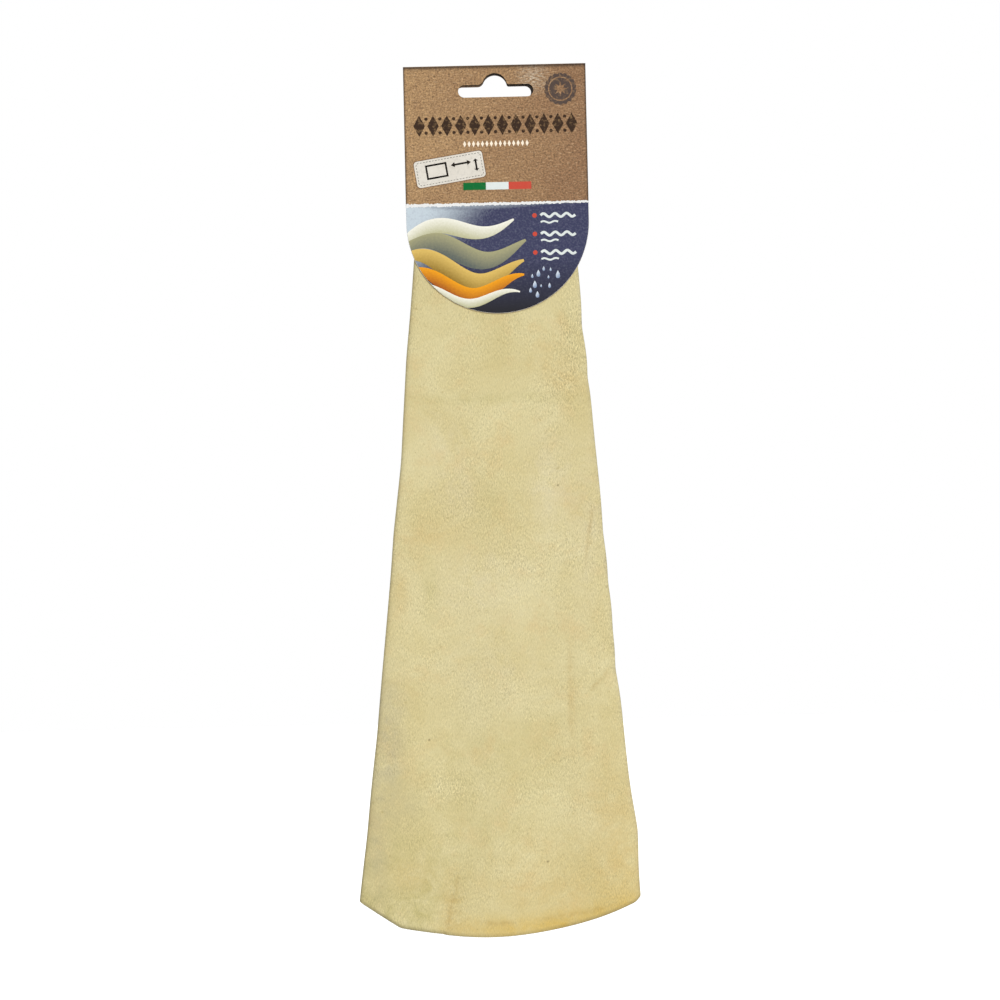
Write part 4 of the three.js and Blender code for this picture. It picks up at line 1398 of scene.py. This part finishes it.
def buildStaple(node):
    low, high = (Vector(p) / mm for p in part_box(node))
    half = staple["thickness"] / 2
    z = (low.z + high.z) / 2
    left, right = low.x + half, high.x - half
    front, back = low.y + half, high.y - half
    path = [(left + staple["clinch"], back, z), (left, back, z), (left, front, z),
            (right, front, z), (right, back, z), (right - staple["clinch"], back, z)]
    mesh = bakeNodes(lineObject(node, path), wireTree,
                     {"Thickness": staple["thickness"] * mm, "Width": staple["width"] * mm,
                      "Bend": staple["bend"] * mm, "Soften": staple["soften"] * mm, "Material": zinc})
    mesh.polygons.foreach_set("use_smooth", [True] * len(mesh.polygons))
    mesh.set_sharp_from_angle(angle=math.radians(staple["sharpAngle"]))
    piece = addObject("wire_" + node, mesh)
    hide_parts(node)
    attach(piece, "card_back")
    return piece


staplePieces = [buildStaple(node) for node in ("staple_left", "staple_right")]

# Loose fibres of the nap along the hem, in millimetres
fibre = {
    "length": 0.75, "radius": 0.035, "bow": 0.25, "halfBase": 0.87,  # shares of the length, of the radius
    "spacing": 0.22, "rise": 0.2, "lean": (1.0, 0.9, 3.1), "smallest": 0.4, "largest": 1.3, "seed": 11,
}


def buildFibres():
    r, length = fibre["radius"], fibre["length"]
    side = fibre["halfBase"] * r
    # a thin spike on three points, bowed towards its tip
    base = [(r, 0, 0), (-r / 2, side, 0), (-r / 2, -side, 0), (0, fibre["bow"] * length, -length)]
    motif = meshObject("fibre", base, [(0, 1, 2), (1, 0, 3), (2, 1, 3), (0, 2, 3)], [])
    path = [p + np.array((0, 0, fibre["rise"])) for p in hemLine]
    mesh = bakeNodes(lineObject("hem_fibres", path), fibreTree,
                     {"Fibre": motif, "Spacing": fibre["spacing"] * mm, "Lean": fibre["lean"],
                      "Smallest": fibre["smallest"], "Largest": fibre["largest"], "Seed": fibre["seed"],
                      "Material": chamois})
    bpy.data.objects.remove(motif)
    piece = addObject("hem_fibres", mesh)
    places = [v.co / mm for v in mesh.vertices]
    addFlatMap(piece, "flatSheet", [(p.x + skin["sheetWidth"] / 2, skinTopZ - p.z) for p in places])
    return piece


fibrePiece = buildFibres()
print("staples:", len(staplePieces), "and fibres:", len(fibrePiece.data.polygons), "faces")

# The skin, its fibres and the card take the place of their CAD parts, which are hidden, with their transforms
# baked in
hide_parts("skin_stapled_end", "skin_hanging")
for piece in (skinPiece, fibrePiece):
    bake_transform(piece)
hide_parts("front_leaf", "back_leaf")
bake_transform(cardPiece)


# Studio: pale floor well below the hem, soft key from the front and a little above, white all round
studio = {
    "floorZ": -0.52, "floorSize": 6.0, "floorColor": "#F4F4F2", "floorRoughness": 0.9,
    "floorGlow": 0.35,  # added for the camera alone, so the pale floor reads as white paper
    "keyStrength": 1.87, "keyAngle": 16.0, "keyTurn": (60.0, 0.0, 18.0),
    "backStrength": 1.25, "backAngle": 50.0, "backTurn": (-48.0, 0.0, 24.0),  # lifts the back alone
    "worldStrength": 0.39,
}
camera = {
    "lens": 100.0, "frameWidth": 0.4324, "lookAt": (-0.00165, -0.0018, -0.1842), "roll": -1.28,
}


def buildStudio():
    size, z = studio["floorSize"] / 2, studio["floorZ"]
    material, tree, shader = newMaterial("pale studio floor")
    rays = addNode(tree, "ShaderNodeLightPath").outputs
    glow = addNode(tree, "ShaderNodeMath", {"operation": "MULTIPLY", 1: studio["floorGlow"]},
                   {0: rays["Is Camera Ray"]})
    setNode(tree, shader,
            {"Base Color": linearColor(studio["floorColor"]), "Roughness": studio["floorRoughness"],
             "Emission Color": (1, 1, 1, 1)}, {"Emission Strength": glow})
    corners = [(-size, -size, z), (size, -size, z), (size, size, z), (-size, size, z)]
    floor = meshObject("studio_floor", [Vector(c) / mm for c in corners], [(0, 1, 2, 3)], [material])

    for name in ("key", "back"):
        light = bpy.data.lights.new(name + " light", "SUN")
        light.energy = studio[name + "Strength"]
        light.angle = math.radians(studio[name + "Angle"])
        lamp = addObject(name + " light", light)
        lamp.rotation_euler = [math.radians(a) for a in studio[name + "Turn"]]

    world = bpy.data.worlds.new("white studio")
    bpy.context.scene.world = world
    world.use_nodes = True
    tree = world.node_tree
    rays = addNode(tree, "ShaderNodeLightPath").outputs
    seen = rays["Is Camera Ray"]
    for kind in ("Is Glossy Ray", "Is Transmission Ray"):
        seen = addNode(tree, "ShaderNodeMath", {"operation": "MAXIMUM"}, {0: seen, 1: rays[kind]})
    strength = addNode(tree, "ShaderNodeMapRange", {"To Min": studio["worldStrength"], "To Max": 1.0},
                       {"Value": seen})
    setNode(tree, tree.nodes["Background"], {"Color": (1, 1, 1, 1)}, {"Strength": strength})


def buildCamera():
    data = bpy.data.cameras.new("camera")
    data.lens = camera["lens"]
    distance = camera["frameWidth"] * camera["lens"] / data.sensor_width
    turn = Matrix.Rotation(math.radians(90), 4, "X") @ Matrix.Rotation(math.radians(camera["roll"]), 4, "Z")
    eye = addObject("camera", data)
    eye.matrix_world = Matrix.Translation(Vector(camera["lookAt"]) - Vector((0, distance, 0))) @ turn
    bpy.context.scene.camera = eye


buildStudio()
buildCamera()
bpy.context.scene.view_settings.view_transform = "Standard"
print("studio and camera ready")
